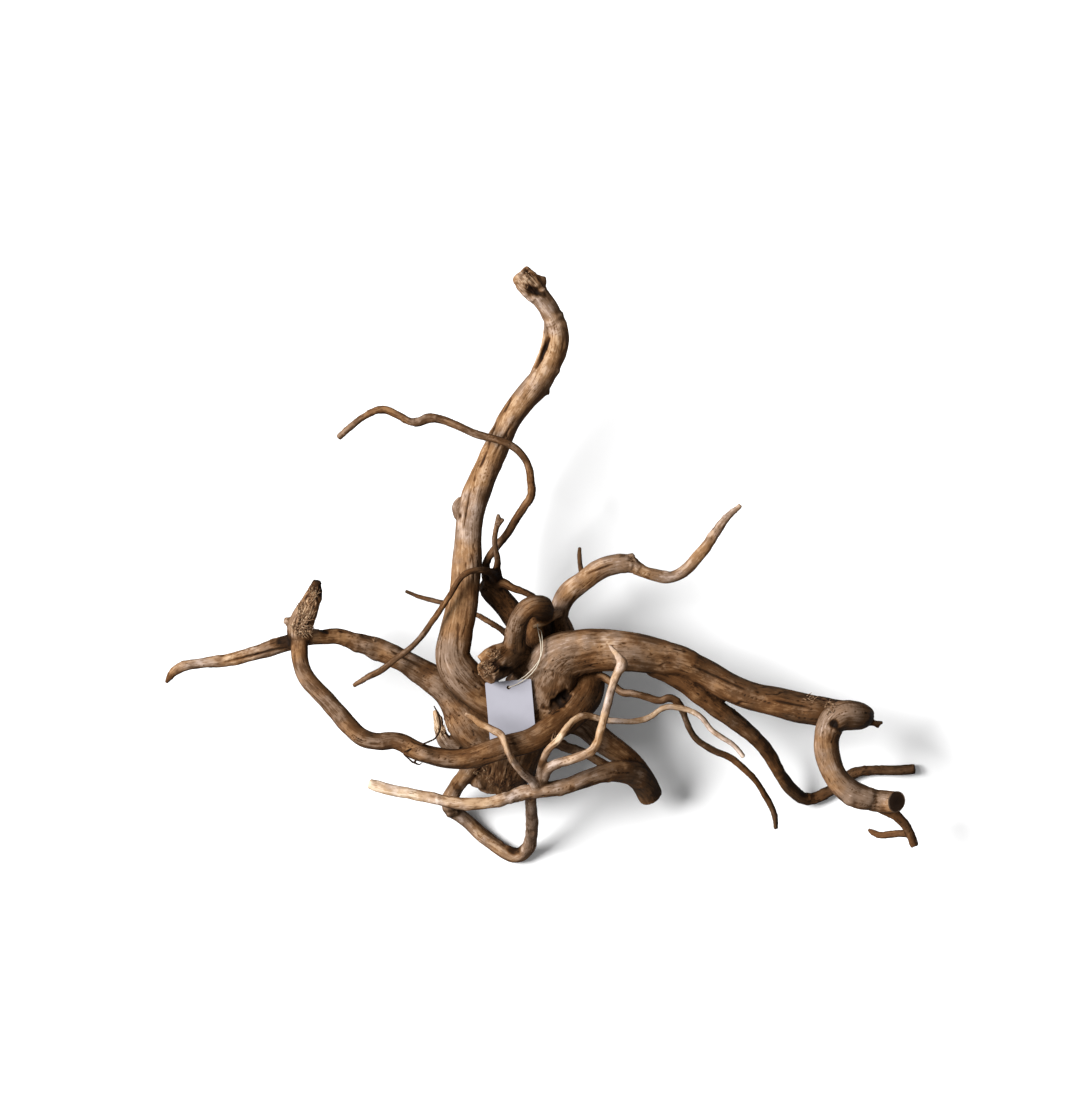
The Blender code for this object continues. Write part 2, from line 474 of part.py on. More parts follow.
def saw(wood, cutters):
    """Cuts the wood and leaves each piece as its own object."""
    cut = wood.modifiers.new("saw", "BOOLEAN")
    cut.operation = "DIFFERENCE"
    cut.operand_type = "COLLECTION"
    cut.collection = cutters
    cut.solver = "EXACT"
    wood.data = evaluated_mesh(wood)
    wood.modifiers.clear()
    bpy.ops.object.select_all(action="DESELECT")
    wood.select_set(True)
    bpy.context.view_layer.objects.active = wood
    bpy.ops.object.mode_set(mode="EDIT")
    bpy.ops.mesh.separate(type="LOOSE")
    bpy.ops.object.mode_set(mode="OBJECT")
    return drop_crumbs(list(bpy.context.selected_objects))


def holds(piece, point, radius):
    """Whether the piece is the one that surrounds this point of a route, where the root has this radius."""
    _, spot, normal, _ = piece.closest_point_on_mesh(point)
    return (spot - point).dot(normal) > 0 and (spot - point).length < radius * INSIDE_REACH


def name_pieces(loose):
    """Names each sawn piece by the route that runs in it, and gives it its tone of wood."""
    named = {}
    for name, (route, index) in PIECES.items():
        *point, radius = (number * MM for number in ROUTES[route][index])
        inside = [piece for piece in loose if holds(piece, Vector(point), radius)]
        if len(inside) != 1:
            raise ValueError(f"{len(inside)} pieces hold the middle of {name}")
        if inside[0] in named.values():
            raise ValueError(f"{name} isn't sawn off")
        named[name] = inside[0]
    if len(loose) != len(named):
        raise ValueError(f"the saw left {len(loose)} pieces, not {len(named)}")
    for name, piece in named.items():
        piece.name = name
        piece.data.name = name
        tone = "dark" if name in DARK_PIECES else "pale" if name in PALE_PIECES else "brown"
        piece.data.materials.clear()
        piece.data.materials.append(material(name, WOOD_TONES[tone], WOOD_ROUGHNESS))
        piece.data.shade_smooth()
        piece.data.set_sharp_from_angle(angle=SHARP_EDGE)
    return list(named.values())


def tag_place():
    """Where the tag lies: its middle, turned a little to the left."""
    return Matrix.Translation(Vector(TAG_CENTRE) * MM) @ Matrix.Rotation(TAG_TURN, 4, "Z")


def make_tag(into):
    """A flat card with a punched hole, from a 2D outline with half its thickness each way."""
    curve = bpy.data.curves.new("tag_card", "CURVE")
    curve.dimensions = "2D"
    curve.fill_mode = "BOTH"
    curve.extrude = TAG_THICKNESS / 2 * MM
    half_width, half_height = TAG_WIDTH / 2 * MM, TAG_HEIGHT / 2 * MM
    corners = [(-1, -1), (1, -1), (1, 1), (-1, 1)]
    edge = curve.splines.new("POLY")
    edge.points.add(len(corners) - 1)
    for point, (side, end) in zip(edge.points, corners):
        point.co = (side * half_width, end * half_height, 0, 1)
    edge.use_cyclic_u = True
    hole_sides = 16
    hole = curve.splines.new("POLY")
    hole.points.add(hole_sides - 1)
    for number, point in enumerate(hole.points):
        angle = 2 * math.pi * number / hole_sides
        height = half_height - TAG_HOLE_BELOW_TOP * MM
        reach = TAG_HOLE_RADIUS * MM
        point.co = (reach * math.cos(angle), height + reach * math.sin(angle), 0, 1)
    hole.use_cyclic_u = True
    tag = new_object("tag_card", curve, into)
    tag.matrix_world = tag_place()
    curve.materials.append(material("tag_card", TAG_COLOUR, CARD_ROUGHNESS))
    return tag


def smooth_points(route, count):
    """Evenly spread points on a Catmull-Rom curve through the route's own points."""
    knots = [Vector(point) for point in route]
    knots = [2 * knots[0] - knots[1], *knots, 2 * knots[-1] - knots[-2]]
    spans = len(knots) - 3
    found = []
    for number in range(count):
        place = number * spans / (count - 1)
        span = min(int(place), spans - 1)
        t = place - span
        a, b, c, d = knots[span : span + 4]
        found.append(
            0.5 * (2 * b + (c - a) * t + (2 * a - 5 * b + 4 * c - d) * t**2 + (3 * b - a - 3 * c + d) * t**3)
        )
    return found


def make_thread(into):
    """The thread, as a thin round tube."""
    curve = bpy.data.curves.new("tag_thread", "CURVE")
    curve.dimensions = "3D"
    curve.bevel_depth = THREAD_RADIUS * MM
    curve.bevel_resolution = 2
    curve.use_fill_caps = True
    points = smooth_points(THREAD_ROUTE, THREAD_POINTS)
    spline = curve.splines.new("POLY")
    spline.points.add(len(points) - 1)
    for knot, point in zip(spline.points, points):
        knot.co = (*(point * MM), 1)
    curve.materials.append(material("tag_thread", THREAD_COLOUR, THREAD_ROUGHNESS))
    return new_object("tag_thread", curve, into)


def centre_on_origin(wood, others):
    """Moves everything sideways, so that the origin is under the middle of the object."""
    bpy.context.view_layer.update()
    corners = [vertex.co for piece in wood for vertex in piece.data.vertices]
    middle = [(max(c[axis] for c in corners) + min(c[axis] for c in corners)) / 2 for axis in (0, 1)]
    move = Matrix.Translation((-middle[0], -middle[1], 0))
    for piece in wood:
        piece.data.transform(move)
    for piece in others:
        piece.matrix_world = move @ piece.matrix_world


def main():
    clear_scene()
    bog_root = collection("bog_root")
    cutters = collection("cutters", shown=False)
    wood = wood_tubes(bog_root)
    skin(wood)
    make_cutters(cutters)
    pieces = name_pieces(saw(wood, cutters))
    centre_on_origin(pieces, [make_tag(bog_root), make_thread(bog_root)])


if __name__ == "__main__":
    main()
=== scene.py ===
"""Dresses the bog root: weathered wood with grain, cracks, knots and torn fibres, and a tag on a thread.

Route points and sizes are in millimetres until MM turns them into metres. X is to the right, Y is up and Z
is towards the camera, and the floor is Z = 0. The roots' routes are those of the part's own source, and each
sawn piece of wood replaces the node with its name.
"""

import math

import bmesh
import bpy
import numpy as np
from bpy.props import FloatProperty, FloatVectorProperty, IntProperty, PointerProperty
from mathutils import Matrix, Vector


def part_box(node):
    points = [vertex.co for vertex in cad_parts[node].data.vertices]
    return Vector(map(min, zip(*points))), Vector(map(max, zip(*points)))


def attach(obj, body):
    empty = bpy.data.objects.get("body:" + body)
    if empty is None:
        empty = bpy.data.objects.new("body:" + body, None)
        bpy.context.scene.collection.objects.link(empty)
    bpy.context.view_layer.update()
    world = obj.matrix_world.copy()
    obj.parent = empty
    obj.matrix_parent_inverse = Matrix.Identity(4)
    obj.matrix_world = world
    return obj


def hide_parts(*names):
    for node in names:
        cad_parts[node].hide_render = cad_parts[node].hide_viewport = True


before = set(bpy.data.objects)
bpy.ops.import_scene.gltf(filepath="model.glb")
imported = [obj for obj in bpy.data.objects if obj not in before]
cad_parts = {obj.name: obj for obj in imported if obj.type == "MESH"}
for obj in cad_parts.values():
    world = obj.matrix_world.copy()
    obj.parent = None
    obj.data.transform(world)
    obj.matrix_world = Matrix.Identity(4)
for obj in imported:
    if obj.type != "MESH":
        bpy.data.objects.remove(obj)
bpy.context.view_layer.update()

bl_info = {
    "name": "Bog Root",
    "version": (1, 0, 0),
    "blender": (4, 5, 0),
    "location": "View3D > Sidebar > Bog Root",
    "description": "Builds a weathered bog root with a card tag on a thread",
    "category": "Add Mesh",
}

MM = 0.001

TAG_WIDTH, TAG_HEIGHT, TAG_THICKNESS = 37.0, 51.0, 0.4
TAG_CORNER = 1.0
TAG_HOLE_RADIUS = 1.6
TAG_HOLE_BELOW_TOP = 5.4
TAG_CENTRE = (-24.2, -118.0)
TAG_TURN = math.radians(5.0)
THREAD_RADIUS = 0.35
THREAD_POINTS = 36

PHOTO_MIDDLE = (-0.8, 12.8, 0)  # the middle of the view, in the routes' millimetres
PHOTO_SPAN = 878.4  # the longer side of the view
CAMERA_HEIGHT = 10.0  # in metres, as is the floor's size
FLOOR_SIZE = 40.0
FLOOR_BOUNCE = 0.28  # how pale the floor is for the light that it throws back at the wood
SEEN_SKY = 1.2  # how bright the room is where the camera looks past the floor
SUN_FROM = (-1.0, 0.22, 1.0)
SUN_ANGLE = math.radians(32)  # a wide sun, for soft shadows

ROUTES = {
    # the thick middle that the roots grow from, its torn lower end, and the sawn stem under it
    "trunk": [
        (15, -72, 80, 17), (6, -92, 75, 22.5), (-7, -114, 66, 26), (-21, -138, 54, 27),
        (-29, -157, 44, 26), (-32, -168, 36, 21.5), (-33, -176, 31, 19),
    ],
    "torn_end_lobe": [(-30, -156, 46, 18), (-47, -166, 46, 9), (-49, -178, 44, 7)],
    "sawn_stem": [(-6, -106, 62, 24), (-5, -104, 40, 23.5), (-5, -103, 18, 24.5), (-5, -102, -8, 26)],
    "sawn_stem_lobe": [(8, -92, 62, 16), (12, -92, 40, 15), (13, -92, 18, 16), (14, -91, -8, 17.5)],
    "sawn_stem_ridge": [(-22, -116, 56, 13), (-22, -113, 36, 11), (-23, -109, 16, 12), (-24, -106, -8, 14)],
    "pale_flake": [
        (-65, -146, 60, 9), (-76, -142, 60, 6), (-81, -132, 60, 4.6), (-83, -122, 60, 3.4),
        (-85, -116, 60, 1.8),
    ],
    "torn_stump": [
        (-8.8, -82.4, 70, 14.4), (-16.8, -76, 78, 12.4), (-21.6, -72, 86, 10.8),
        (-30.4, -78.4, 98, 10.8), (-38.4, -83.2, 106, 10.8), (-44, -87.2, 110, 10),
    ],
    "torn_stump_ridge": [
        (-26.4, -67.2, 92, 5.6), (-34.4, -68, 98, 4.8), (-42.4, -71.2, 101, 4.8), (-48.8, -76, 102, 3.6),
    ],
    # the tall arm at the top, with a knuckled head and a strand fused along its bend
    "vertical_arm": [
        (-23.2, -117.6, 68, 16.8), (-34.4, -110.4, 72, 15.2), (-48.8, -101.6, 77, 14.8),
        (-62.4, -88.8, 82, 14.6), (-70.4, -74.4, 84, 13.8), (-68.4, -56.8, 84, 12.8),
        (-64, -37.6, 84, 12), (-60.4, -18.4, 83, 11.8), (-58.8, 4, 82, 11.6), (-58, 24, 82, 11.2),
        (-54.8, 45.6, 82, 11), (-46.4, 69.6, 82, 10.8), (-36, 92.8, 82, 10.2), (-25.6, 114.8, 83, 9.8),
        (-14.4, 130.8, 84, 10.4), (-3.2, 144, 85, 11), (5.6, 158.4, 86, 10), (12, 172.8, 87, 9),
        (13.2, 187.2, 88, 9), (8, 200.8, 90, 8), (0, 212.8, 92, 8), (-7.2, 221.2, 93, 9.6),
        (-12, 227.6, 93, 10), (-17.6, 233.6, 93, 8),
    ],
    "arm_head_lobe": [(-5.6, 220, 91, 6), (-0.8, 226.4, 90, 5.2), (0, 231.2, 89, 3.6)],
    "arm_strand": [
        (-4.8, 154.4, 85, 3.6), (-0.4, 165.6, 87, 3.4), (3.2, 177.6, 88, 2.8), (4.4, 190.4, 89, 2.4),
        (6.4, 199.2, 90, 3.2),
    ],
    "arm_knob": [(-62.4, 52, 80, 4.4), (-66.4, 46.4, 80, 4.8), (-66.4, 37.6, 80, 3.2)],
    "arm_spur": [(0, 139.2, 84, 5.6), (7.2, 137.6, 84, 1.6)],
    # a root that rises from the crown, bends over like a finger and goes back down
    "curl_root": [
        (-23.2, -73.6, 86, 10.4), (-21.6, -61.6, 95, 8.8), (-20, -52, 103, 8), (-16.8, -41.6, 110, 8),
        (-9.6, -33.6, 113, 8), (-1.6, -32.8, 108, 8.4), (2, -35.2, 98, 8), (1.6, -37.6, 85, 8),
        (0, -44, 71, 8.4), (-2.4, -56.8, 58, 11.2),
    ],
    # the stout root behind the arm, with the thin roots that leave its head
    "back_root": [
        (-5.6, -84, 56, 12.8), (-10.4, -64, 54, 11.6), (-17.6, -47.2, 54, 10), (-27.2, -34.4, 56, 9.6),
        (-36, -24, 60, 9.6), (-43.2, -16.8, 63, 8.8), (-47.2, -15.2, 64, 6),
    ],
    "back_root_side": [
        (-37.6, -15.2, 66, 4.8), (-30.4, -14.4, 71, 4), (-22.4, -18.4, 73, 3.2), (-12.8, -22, 73, 2.8),
        (-5.6, -26.4, 71, 2.8), (0, -33.6, 68, 3.6), (3.2, -42.4, 66, 4.8),
    ],
    "back_root_fork": [
        (-35.2, -10.4, 67, 4.4), (-35.2, -2.4, 80, 3), (-34.8, 4, 90, 2.6), (-36, 11.2, 97, 2.4),
        (-37.2, 18.4, 100, 2.2), (-36.4, 26.4, 102, 2.2), (-34.8, 33.6, 104, 2.4), (-34, 40.8, 105, 1.6),
    ],
    "back_root_fork_spur": [(-34.4, 32.8, 104, 2.4), (-29.6, 36.8, 105, 1.4)],
    "whip_root": [
        (-41.6, -12, 63, 5.6), (-44, -4, 69, 3.6), (-43.2, 3.2, 77, 3.2), (-35.2, 15.2, 85, 3.2),
        (-27.2, 24.8, 92, 3.2), (-20, 36.8, 98, 3.4), (-13.2, 47.2, 102, 3.4), (-8, 55.2, 105, 3.4),
        (-8.4, 68, 107, 3.2), (-10.4, 80, 108, 3), (-16.8, 89.6, 109, 3), (-26.4, 96.8, 110, 3.2),
        (-37.6, 100.8, 110, 3.2), (-52, 104.8, 109, 3.2), (-66.4, 111.2, 108, 3.2),
        (-80, 116.4, 107, 3.4), (-89.6, 117.6, 106, 4), (-98.4, 114.4, 105, 3.8),
        (-104.8, 114.8, 104, 3.2), (-114.4, 120, 102, 3.2), (-127.2, 124.4, 100, 3.4),
        (-140.8, 119.2, 97, 2.8), (-153.6, 109.6, 94, 3), (-162.4, 101.6, 92, 2.6),
    ],
    "crossing_root": [
        (-36, -12, 67, 4.8), (-39.2, -6.4, 84, 3.6), (-44, -4.8, 95, 3.2), (-49.6, -4, 101, 2.8),
        (-56.8, -5.2, 103, 2.6), (-62.4, -8.4, 104, 2.6), (-67.2, -14.4, 104, 2.5),
        (-72.8, -24, 103, 2.5), (-79.6, -34.4, 101, 2.5), (-88, -46.4, 98, 2.5), (-96, -57.6, 96, 2.5),
        (-106.4, -68, 94, 2.6), (-117.6, -76, 92, 2.5), (-126.4, -83.2, 90, 2.7),
        (-138.4, -89.6, 88, 2.6), (-150.4, -96.8, 86, 1.8),
    ],
    "low_back_root": [
        (-16.8, -68, 52, 7.2), (-24.8, -57.6, 46, 3.6), (-31.2, -52, 40, 2.6), (-40, -46.4, 36, 2.4),
        (-49.6, -40.8, 33, 2.2), (-66.4, -33.6, 30, 2.1), (-83.2, -29.2, 27, 2.1),
        (-96.8, -25.6, 24, 1.9), (-108.8, -20.8, 22, 1.5),
    ],
    # the branch at the upper right, with a broken splinter at its foot and a dark stub under it
    "upper_right_branch": [
        (18.4, -64, 52, 12.8), (15.2, -50.4, 55, 9.6), (13.6, -41.6, 60, 8), (16.4, -31.2, 67, 8),
        (23.2, -20.8, 72, 8.4), (33.6, -12.8, 75, 8.2), (48, -2.8, 78, 8), (60, 0.8, 79, 8),
        (68.8, 1.2, 79, 7.4), (74.4, -0.8, 78, 6), (80.8, -4.8, 77, 5), (91.2, -8, 76, 4.9),
        (104, -9.6, 75, 4.8), (114.4, -4.8, 74, 4.8), (124.8, 6, 73, 4.8), (133.6, 16.8, 73, 4.6),
        (140, 26.4, 72, 4), (148, 37.2, 71, 3.3), (160, 48, 70, 2),
    ],
    "branch_knot_spike": [(69.6, 4, 80, 5.2), (74.4, 8.8, 81, 1.6)],
    "branch_splinter": [
        (14.4, -37.6, 70, 4.8), (8.8, -41.6, 76, 3.4), (1.6, -46.8, 82, 2.6), (-6.4, -49.6, 84, 1.8),
    ],
    "branch_stub": [(34.4, -12, 67, 3.2), (31.6, -1.6, 62, 2), (30.8, 6.4, 60, 1.9), (30.8, 14.4, 58, 1.6)],
    # the thickest arm, to the right
    "main_right_arm": [
        (4.8, -86.4, 72.5, 23.2), (16.8, -73.6, 81, 20), (31.2, -69.6, 85, 17.6), (45.6, -68, 87, 16.4),
        (60, -68, 88, 16), (80.8, -70.4, 88, 15.4), (96.8, -74, 86, 14), (112, -78.4, 84, 12.8),
        (129.6, -86.4, 80, 11.6), (149.6, -97.2, 78, 11.6), (168.8, -105.6, 76, 11.8),
        (189.6, -110, 75, 11.8), (207.2, -114.4, 73, 12), (220.8, -116.8, 72, 12),
        (232.8, -118.4, 67, 11.2),
    ],
    "trailing_root": [
        (91.2, -76.8, 84, 12), (104, -84.8, 82, 10), (116, -93.2, 80, 9.2), (127.2, -102.4, 77, 8.6),
        (139.2, -112.8, 73, 7.6), (152.8, -123.2, 66, 6.8), (169.6, -136.8, 56, 6.2),
        (183.2, -152.8, 44, 5.6), (192, -168.8, 32, 5.2), (202.4, -181.6, 19, 5.2),
        (213.6, -187.2, 8, 5), (228, -182.4, 5.6, 4.6), (240.8, -172.8, 5.4, 4.4), (252.8, -166, 5, 4.2),
        (264.8, -164.4, 4.6, 4), (279.2, -164.4, 4.4, 3.8), (291.2, -164, 4.6, 4),
        (299.2, -163.2, 4.6, 4),
    ],
    # the arm's end turns up and back over itself, and then down to a sawn end
    "hook": [
        (220.8, -116, 71, 11.2), (234.4, -117.6, 62, 10.8), (245.6, -119.2, 58, 10.6),
        (253.6, -120.8, 64, 10.4), (255.2, -121.6, 76, 10.4), (249.6, -120.8, 87, 11.6),
        (240.8, -120.8, 91, 12.2), (232, -127.2, 91, 11.2), (228.4, -140.8, 90, 10),
        (230, -154.4, 89, 9.8), (235.2, -168, 87, 9.6), (244.4, -178.8, 85, 10.4),
        (256.8, -185.2, 82, 10.4), (268.8, -188.4, 79, 9.2), (279.2, -189.2, 82, 9),
        (289.6, -189.6, 92, 8.8),
    ],
    "hook_spike": [(256.8, -122.4, 68, 5.6), (266.4, -126.4, 67, 2.4), (273.6, -126, 67, 1.4)],
    "hook_spike_side": [(266.4, -126.4, 67, 2), (270.4, -130.4, 66, 1.2)],
    "hook_twig": [
        (266.4, -190.4, 75, 4.8), (275.2, -195.2, 73, 4.8), (281.6, -198.4, 71, 4.4), (288, -204, 68, 4),
        (293.6, -211.2, 64, 3.6), (296.8, -218.4, 60, 3.6), (298.8, -224.8, 57, 3.4),
    ],
    "hook_twig_side": [
        (296, -215.2, 60, 3.2), (287.2, -214.8, 58, 3), (279.2, -215.6, 56, 3), (271.2, -216, 54, 2.8),
        (265.6, -214, 53, 2.4), (261.6, -211.6, 52, 1.6),
    ],
    # the long arm to the left, the torn knot at its end, and the two roots that leave the knot
    "left_arm": [
        (-35.2, -149.6, 52, 18.4), (-48, -136.8, 60, 19.2), (-57.6, -126.8, 63, 17.2),
        (-65.6, -113.6, 65, 14.4), (-74.4, -101.6, 66, 12.4), (-84.8, -92.4, 66, 11.2),
        (-96.8, -84.8, 66, 10.4), (-115.2, -74, 68, 9.4), (-133.6, -66, 71, 8.4),
        (-151.2, -60.4, 74, 7.2), (-160.8, -57.2, 76, 6.8), (-172.8, -57.2, 78, 6.6),
        (-186.4, -57.2, 80, 6.8), (-193.6, -57.6, 81, 7.2),
    ],
    "torn_knot": [
        (-192, -58.4, 82, 9.6), (-193.6, -52, 86, 10), (-190.4, -42.4, 90, 10.4),
        (-185.6, -32.8, 94, 8.8), (-182, -24, 97, 6.8), (-180, -16.8, 99, 4.8), (-179.2, -12, 100, 2.8),
    ],
    "torn_knot_tooth": [(-196, -50.4, 86, 7.2), (-201.6, -45.6, 86, 4), (-205.6, -44, 86, 2.4)],
    "left_tip": [
        (-193.6, -60, 80, 7.2), (-202.4, -62.4, 80, 6.6), (-212.8, -65.6, 79.5, 6.4),
        (-226.4, -70, 79, 5.8), (-240.8, -73.6, 78, 5.2), (-255.2, -76.8, 77, 5),
        (-270.4, -78.4, 76, 4.6), (-282.4, -80, 75, 4.4), (-290.4, -83.2, 73, 4.2), (-296, -88, 72, 3.2),
        (-300, -94.4, 70, 1.4),
    ],
    "loop_arm": [
        (-193.6, -55.2, 84, 8), (-193.2, -68, 88, 6.8), (-192, -79.2, 91, 6.4), (-188, -89.2, 94, 6.5),
        (-180, -99.2, 97, 6.8), (-170.4, -108.8, 100, 7.2), (-161.6, -119.2, 103, 7.4),
        (-152.8, -129.6, 106, 7.4), (-143.2, -138, 108, 7.4), (-130.4, -141.2, 109, 7.2),
        (-117.6, -140.8, 110, 7), (-110.4, -142.8, 110, 7.4), (-101.6, -148, 111, 7.8),
        (-90.4, -152, 112, 7.8), (-72, -155.2, 112, 8), (-56.8, -154, 112, 8.4), (-44, -150, 112, 8.8),
        (-28.8, -145.6, 112, 9.2), (-9.6, -140.8, 109, 9.6), (5.6, -132.8, 104, 10.4),
        (18.4, -124, 93, 11.6), (29.6, -112.8, 83, 12.4), (36, -101.6, 72, 13.2), (34.4, -88.8, 64, 14),
        (23.2, -80, 60, 14.4),
    ],
    # the limb across the front, which ends in the same stub as the dark root under it
    "front_limb": [
        (87.2, -184, 26, 10), (83.6, -176.8, 36, 10.2), (77.6, -170, 48, 10), (71.2, -166, 60, 9.6),
        (62.4, -164.8, 70, 8.8), (51.2, -166.4, 78, 8), (38.4, -170.4, 84, 7.2), (23.2, -176, 88, 6.8),
        (7.2, -179.6, 91, 6.4), (-3.2, -180.8, 92, 6.4), (-12.8, -182, 92, 6), (-22.4, -185.2, 92, 5.4),
        (-32.8, -188.4, 92, 5.1), (-44.8, -190.8, 92, 4.9), (-56.8, -191.2, 92, 4.9),
        (-71.2, -190, 91, 4.9), (-88.8, -186, 90, 4.6), (-104.8, -182.8, 89, 4.5),
        (-120.8, -180, 88, 4.5), (-131.2, -176.8, 87, 4.6), (-137.6, -174.8, 86, 4.4),
    ],
    "stub_root": [
        (12, -120.8, 58, 13.6), (24.8, -122.4, 59, 12), (36, -128, 60, 10.4), (44, -135.6, 58, 9.6),
        (52.8, -143.2, 56, 9.2), (62.8, -150.4, 53, 9), (71.2, -157.6, 48, 9.2), (78.4, -166.4, 42, 9.6),
        (84, -176, 34, 10), (87.2, -184, 26, 10),
    ],
    "stub_root_bridge": [
        (3.2, -138.4, 62, 6.4), (13.6, -142.4, 64, 4.8), (21.6, -146.4, 64, 4), (31.2, -148.8, 65, 3.6),
        (40.8, -153.6, 65, 3.6), (49.6, -159.2, 65, 4), (57.6, -164, 64, 5.6),
    ],
    "floor_loop": [
        (-8.8, -181.6, 88, 5.6), (-8, -189.6, 76, 4.8), (-7.6, -198.4, 60, 4.8), (-7.2, -208.8, 42, 5),
        (-8, -218.4, 24, 5.2), (-11.2, -227.2, 11, 5.6), (-18.8, -232.4, 6.3, 6), (-27.2, -230.4, 6, 6),
        (-36.8, -224, 6, 5.8), (-47.2, -216, 6.5, 5.8), (-56.8, -207.2, 8, 5.8), (-64.8, -200.8, 11, 6),
        (-72, -195.2, 15, 6.4), (-72.8, -188, 24, 6.6), (-68, -178.4, 34, 6.6), (-61.6, -169.6, 45, 6.6),
        (-54.4, -160, 54, 7.6), (-45.6, -149.6, 58, 11.2),
    ],
    "floor_loop_end": [(-68, -195.2, 16, 5.6), (-76, -198.4, 18, 4.4)],
    # thin twigs in front
    "pale_twig": [
        (0, -174.4, 92, 5.2), (4, -164.8, 103, 4.4), (11.2, -159.6, 111, 4), (21.6, -156.4, 115, 3.8),
        (32, -152.8, 117, 3.7), (40, -148.8, 118, 3.7), (44.8, -142.8, 119, 3.5), (48, -131.2, 120, 3.3),
        (51.2, -119.2, 121, 3.3), (54.4, -107.2, 122, 3.3), (57.6, -95.2, 123, 3.3),
        (61.2, -86.4, 124, 3.4), (64.4, -79.2, 124, 3.8), (62, -73.6, 124, 2.6), (58, -68.4, 123, 2.1),
        (54.4, -64, 122, 1.4),
    ],
    "pale_twig_spur": [(64, -80.8, 124, 3.2), (67.2, -77.6, 125, 1.6)],
    "tag_twig": [
        (-2.4, -179.2, 93, 4.8), (-8, -172, 102, 3.6), (-15.2, -165.6, 112, 3.3),
        (-21.6, -157.6, 120, 3.1), (-25.6, -150.4, 126, 3), (-28.8, -142.4, 128, 3.1),
        (-32, -136, 127, 3.1), (-39.2, -131.6, 126, 3), (-48, -127.2, 124, 2.9),
        (-54.4, -122.4, 122, 2.4), (-60.8, -118.8, 121, 1.8),
    ],
    "short_fine_root": [
        (-1.6, -176, 94, 4.8), (-0.8, -166.4, 102, 3.4), (1.6, -156.8, 110, 3), (5.6, -148, 117, 2.9),
        (12, -141.6, 120, 3), (16, -136.8, 120, 3), (20, -131.2, 119, 2.8), (26.4, -124.4, 116, 2.8),
        (33.6, -120.8, 112, 2.8), (40.8, -121.2, 107, 2.6), (48.8, -123.6, 104, 2.5),
        (60.8, -124.8, 100, 2.6), (76.8, -124.8, 94, 2.6), (87.2, -121.6, 90, 2.5),
        (95.2, -116, 88, 2.4), (101.6, -113.6, 87, 2.4), (111.2, -114.4, 85, 2.5),
        (121.6, -117.6, 83, 2.4), (129.6, -123.2, 81, 2.4), (135.6, -131.2, 79, 2.4),
        (145.6, -138.4, 77, 2.4), (154.4, -144.4, 75, 2.2), (162.4, -153.6, 73, 2),
    ],
    "long_fine_root": [
        (34.4, -100, 66, 7.2), (41.6, -92.8, 72, 3.6), (47.2, -88.8, 75, 3.2), (55.2, -93.2, 77, 3.2),
        (64.8, -101.6, 78, 3.1), (73.6, -102.8, 79, 3.1), (84.8, -105.6, 79, 3), (95.2, -108.4, 79, 3),
        (103.2, -106.4, 79, 3.3), (108.8, -109.2, 78, 3.2), (112.8, -115.2, 75, 2.8),
        (116, -124, 71, 2.6), (120, -133.2, 67, 2.6), (124.8, -139.6, 63, 2.8), (132, -144.8, 59, 2.9),
        (140, -149.2, 55, 2.8), (150.4, -153.6, 50, 2.8), (158.4, -159.6, 46, 2.8),
        (165.6, -166, 42, 2.8), (172, -172.8, 38, 2.6), (177.6, -181.6, 33, 2.6),
        (183.2, -191.2, 28, 2.6), (186.8, -200, 24, 2.6), (188, -211.2, 20, 2),
    ],
}

# Each saw cut is on a route, at a place along it that is counted in points from 0: 3.5 is halfway between
# the fourth point and the fifth.
SAW_CUTS = [
    ("vertical_arm", 4.7),
    ("curl_root", 1.9),
    ("curl_root", 6.4),
    ("back_root", 2.5),
    ("back_root_side", 4.2),
    ("whip_root", 2.5),
    ("crossing_root", 2.4),
    ("low_back_root", 1.9),
    ("upper_right_branch", 4.3),
    ("main_right_arm", 3.6),
    ("trailing_root", 4.5),
    ("main_right_arm", 12.0),
    ("hook_twig", 2.3),
    ("left_arm", 5.8),
    ("left_arm", 11.0),
    ("left_tip", 1.6),
    ("loop_arm", 1.5),
    ("loop_arm", 18.0),
    ("front_limb", 6.0),
    ("stub_root", 2.2),
    ("stub_root_bridge", 1.8),
    ("floor_loop", 1.3),
    ("floor_loop", 14.3),
    ("pale_twig", 2.3),
    ("tag_twig", 1.5),
    ("short_fine_root", 2.8),
    ("long_fine_root", 2.6),
]

# What each piece is called, and a point of a route that lies inside it.
PIECES = {
    "crown": ("trunk", 3),
    "vertical_arm": ("vertical_arm", 10),
    "curl_root": ("curl_root", 4),
    "back_root": ("back_root", 4),
    "whip_root": ("whip_root", 8),
    "crossing_root": ("crossing_root", 8),
    "low_back_root": ("low_back_root", 5),
    "upper_right_branch": ("upper_right_branch", 6),
    "main_right_arm": ("main_right_arm", 6),
    "trailing_root": ("trailing_root", 8),
    "hook": ("hook", 8),
    "hook_twig": ("hook_twig", 4),
    "left_arm": ("left_arm", 8),
    "torn_knot": ("torn_knot", 1),
    "left_tip": ("left_tip", 5),
    "loop_arm": ("loop_arm", 9),
    "front_limb": ("front_limb", 11),
    "stub_root": ("stub_root", 5),
    "floor_loop": ("floor_loop", 8),
    "pale_twig": ("pale_twig", 8),
    "tag_twig": ("tag_twig", 6),
    "short_fine_root": ("short_fine_root", 8),
    "long_fine_root": ("long_fine_root", 8),
}

# The sawn end of the hook looks right and up.
HOOK_END = Vector((285, -188.5, 86))
HOOK_END_NORMAL = Vector((0.66, -0.05, 0.75))
HOOK_END_REACH = 24.0  # how far round that point the wood is cut flat
HOOK_END_RADIUS = 9.0
FOOT_RING = 0.85  # the ring that the sawn foot lies on, where the rim of the hook's end is 1

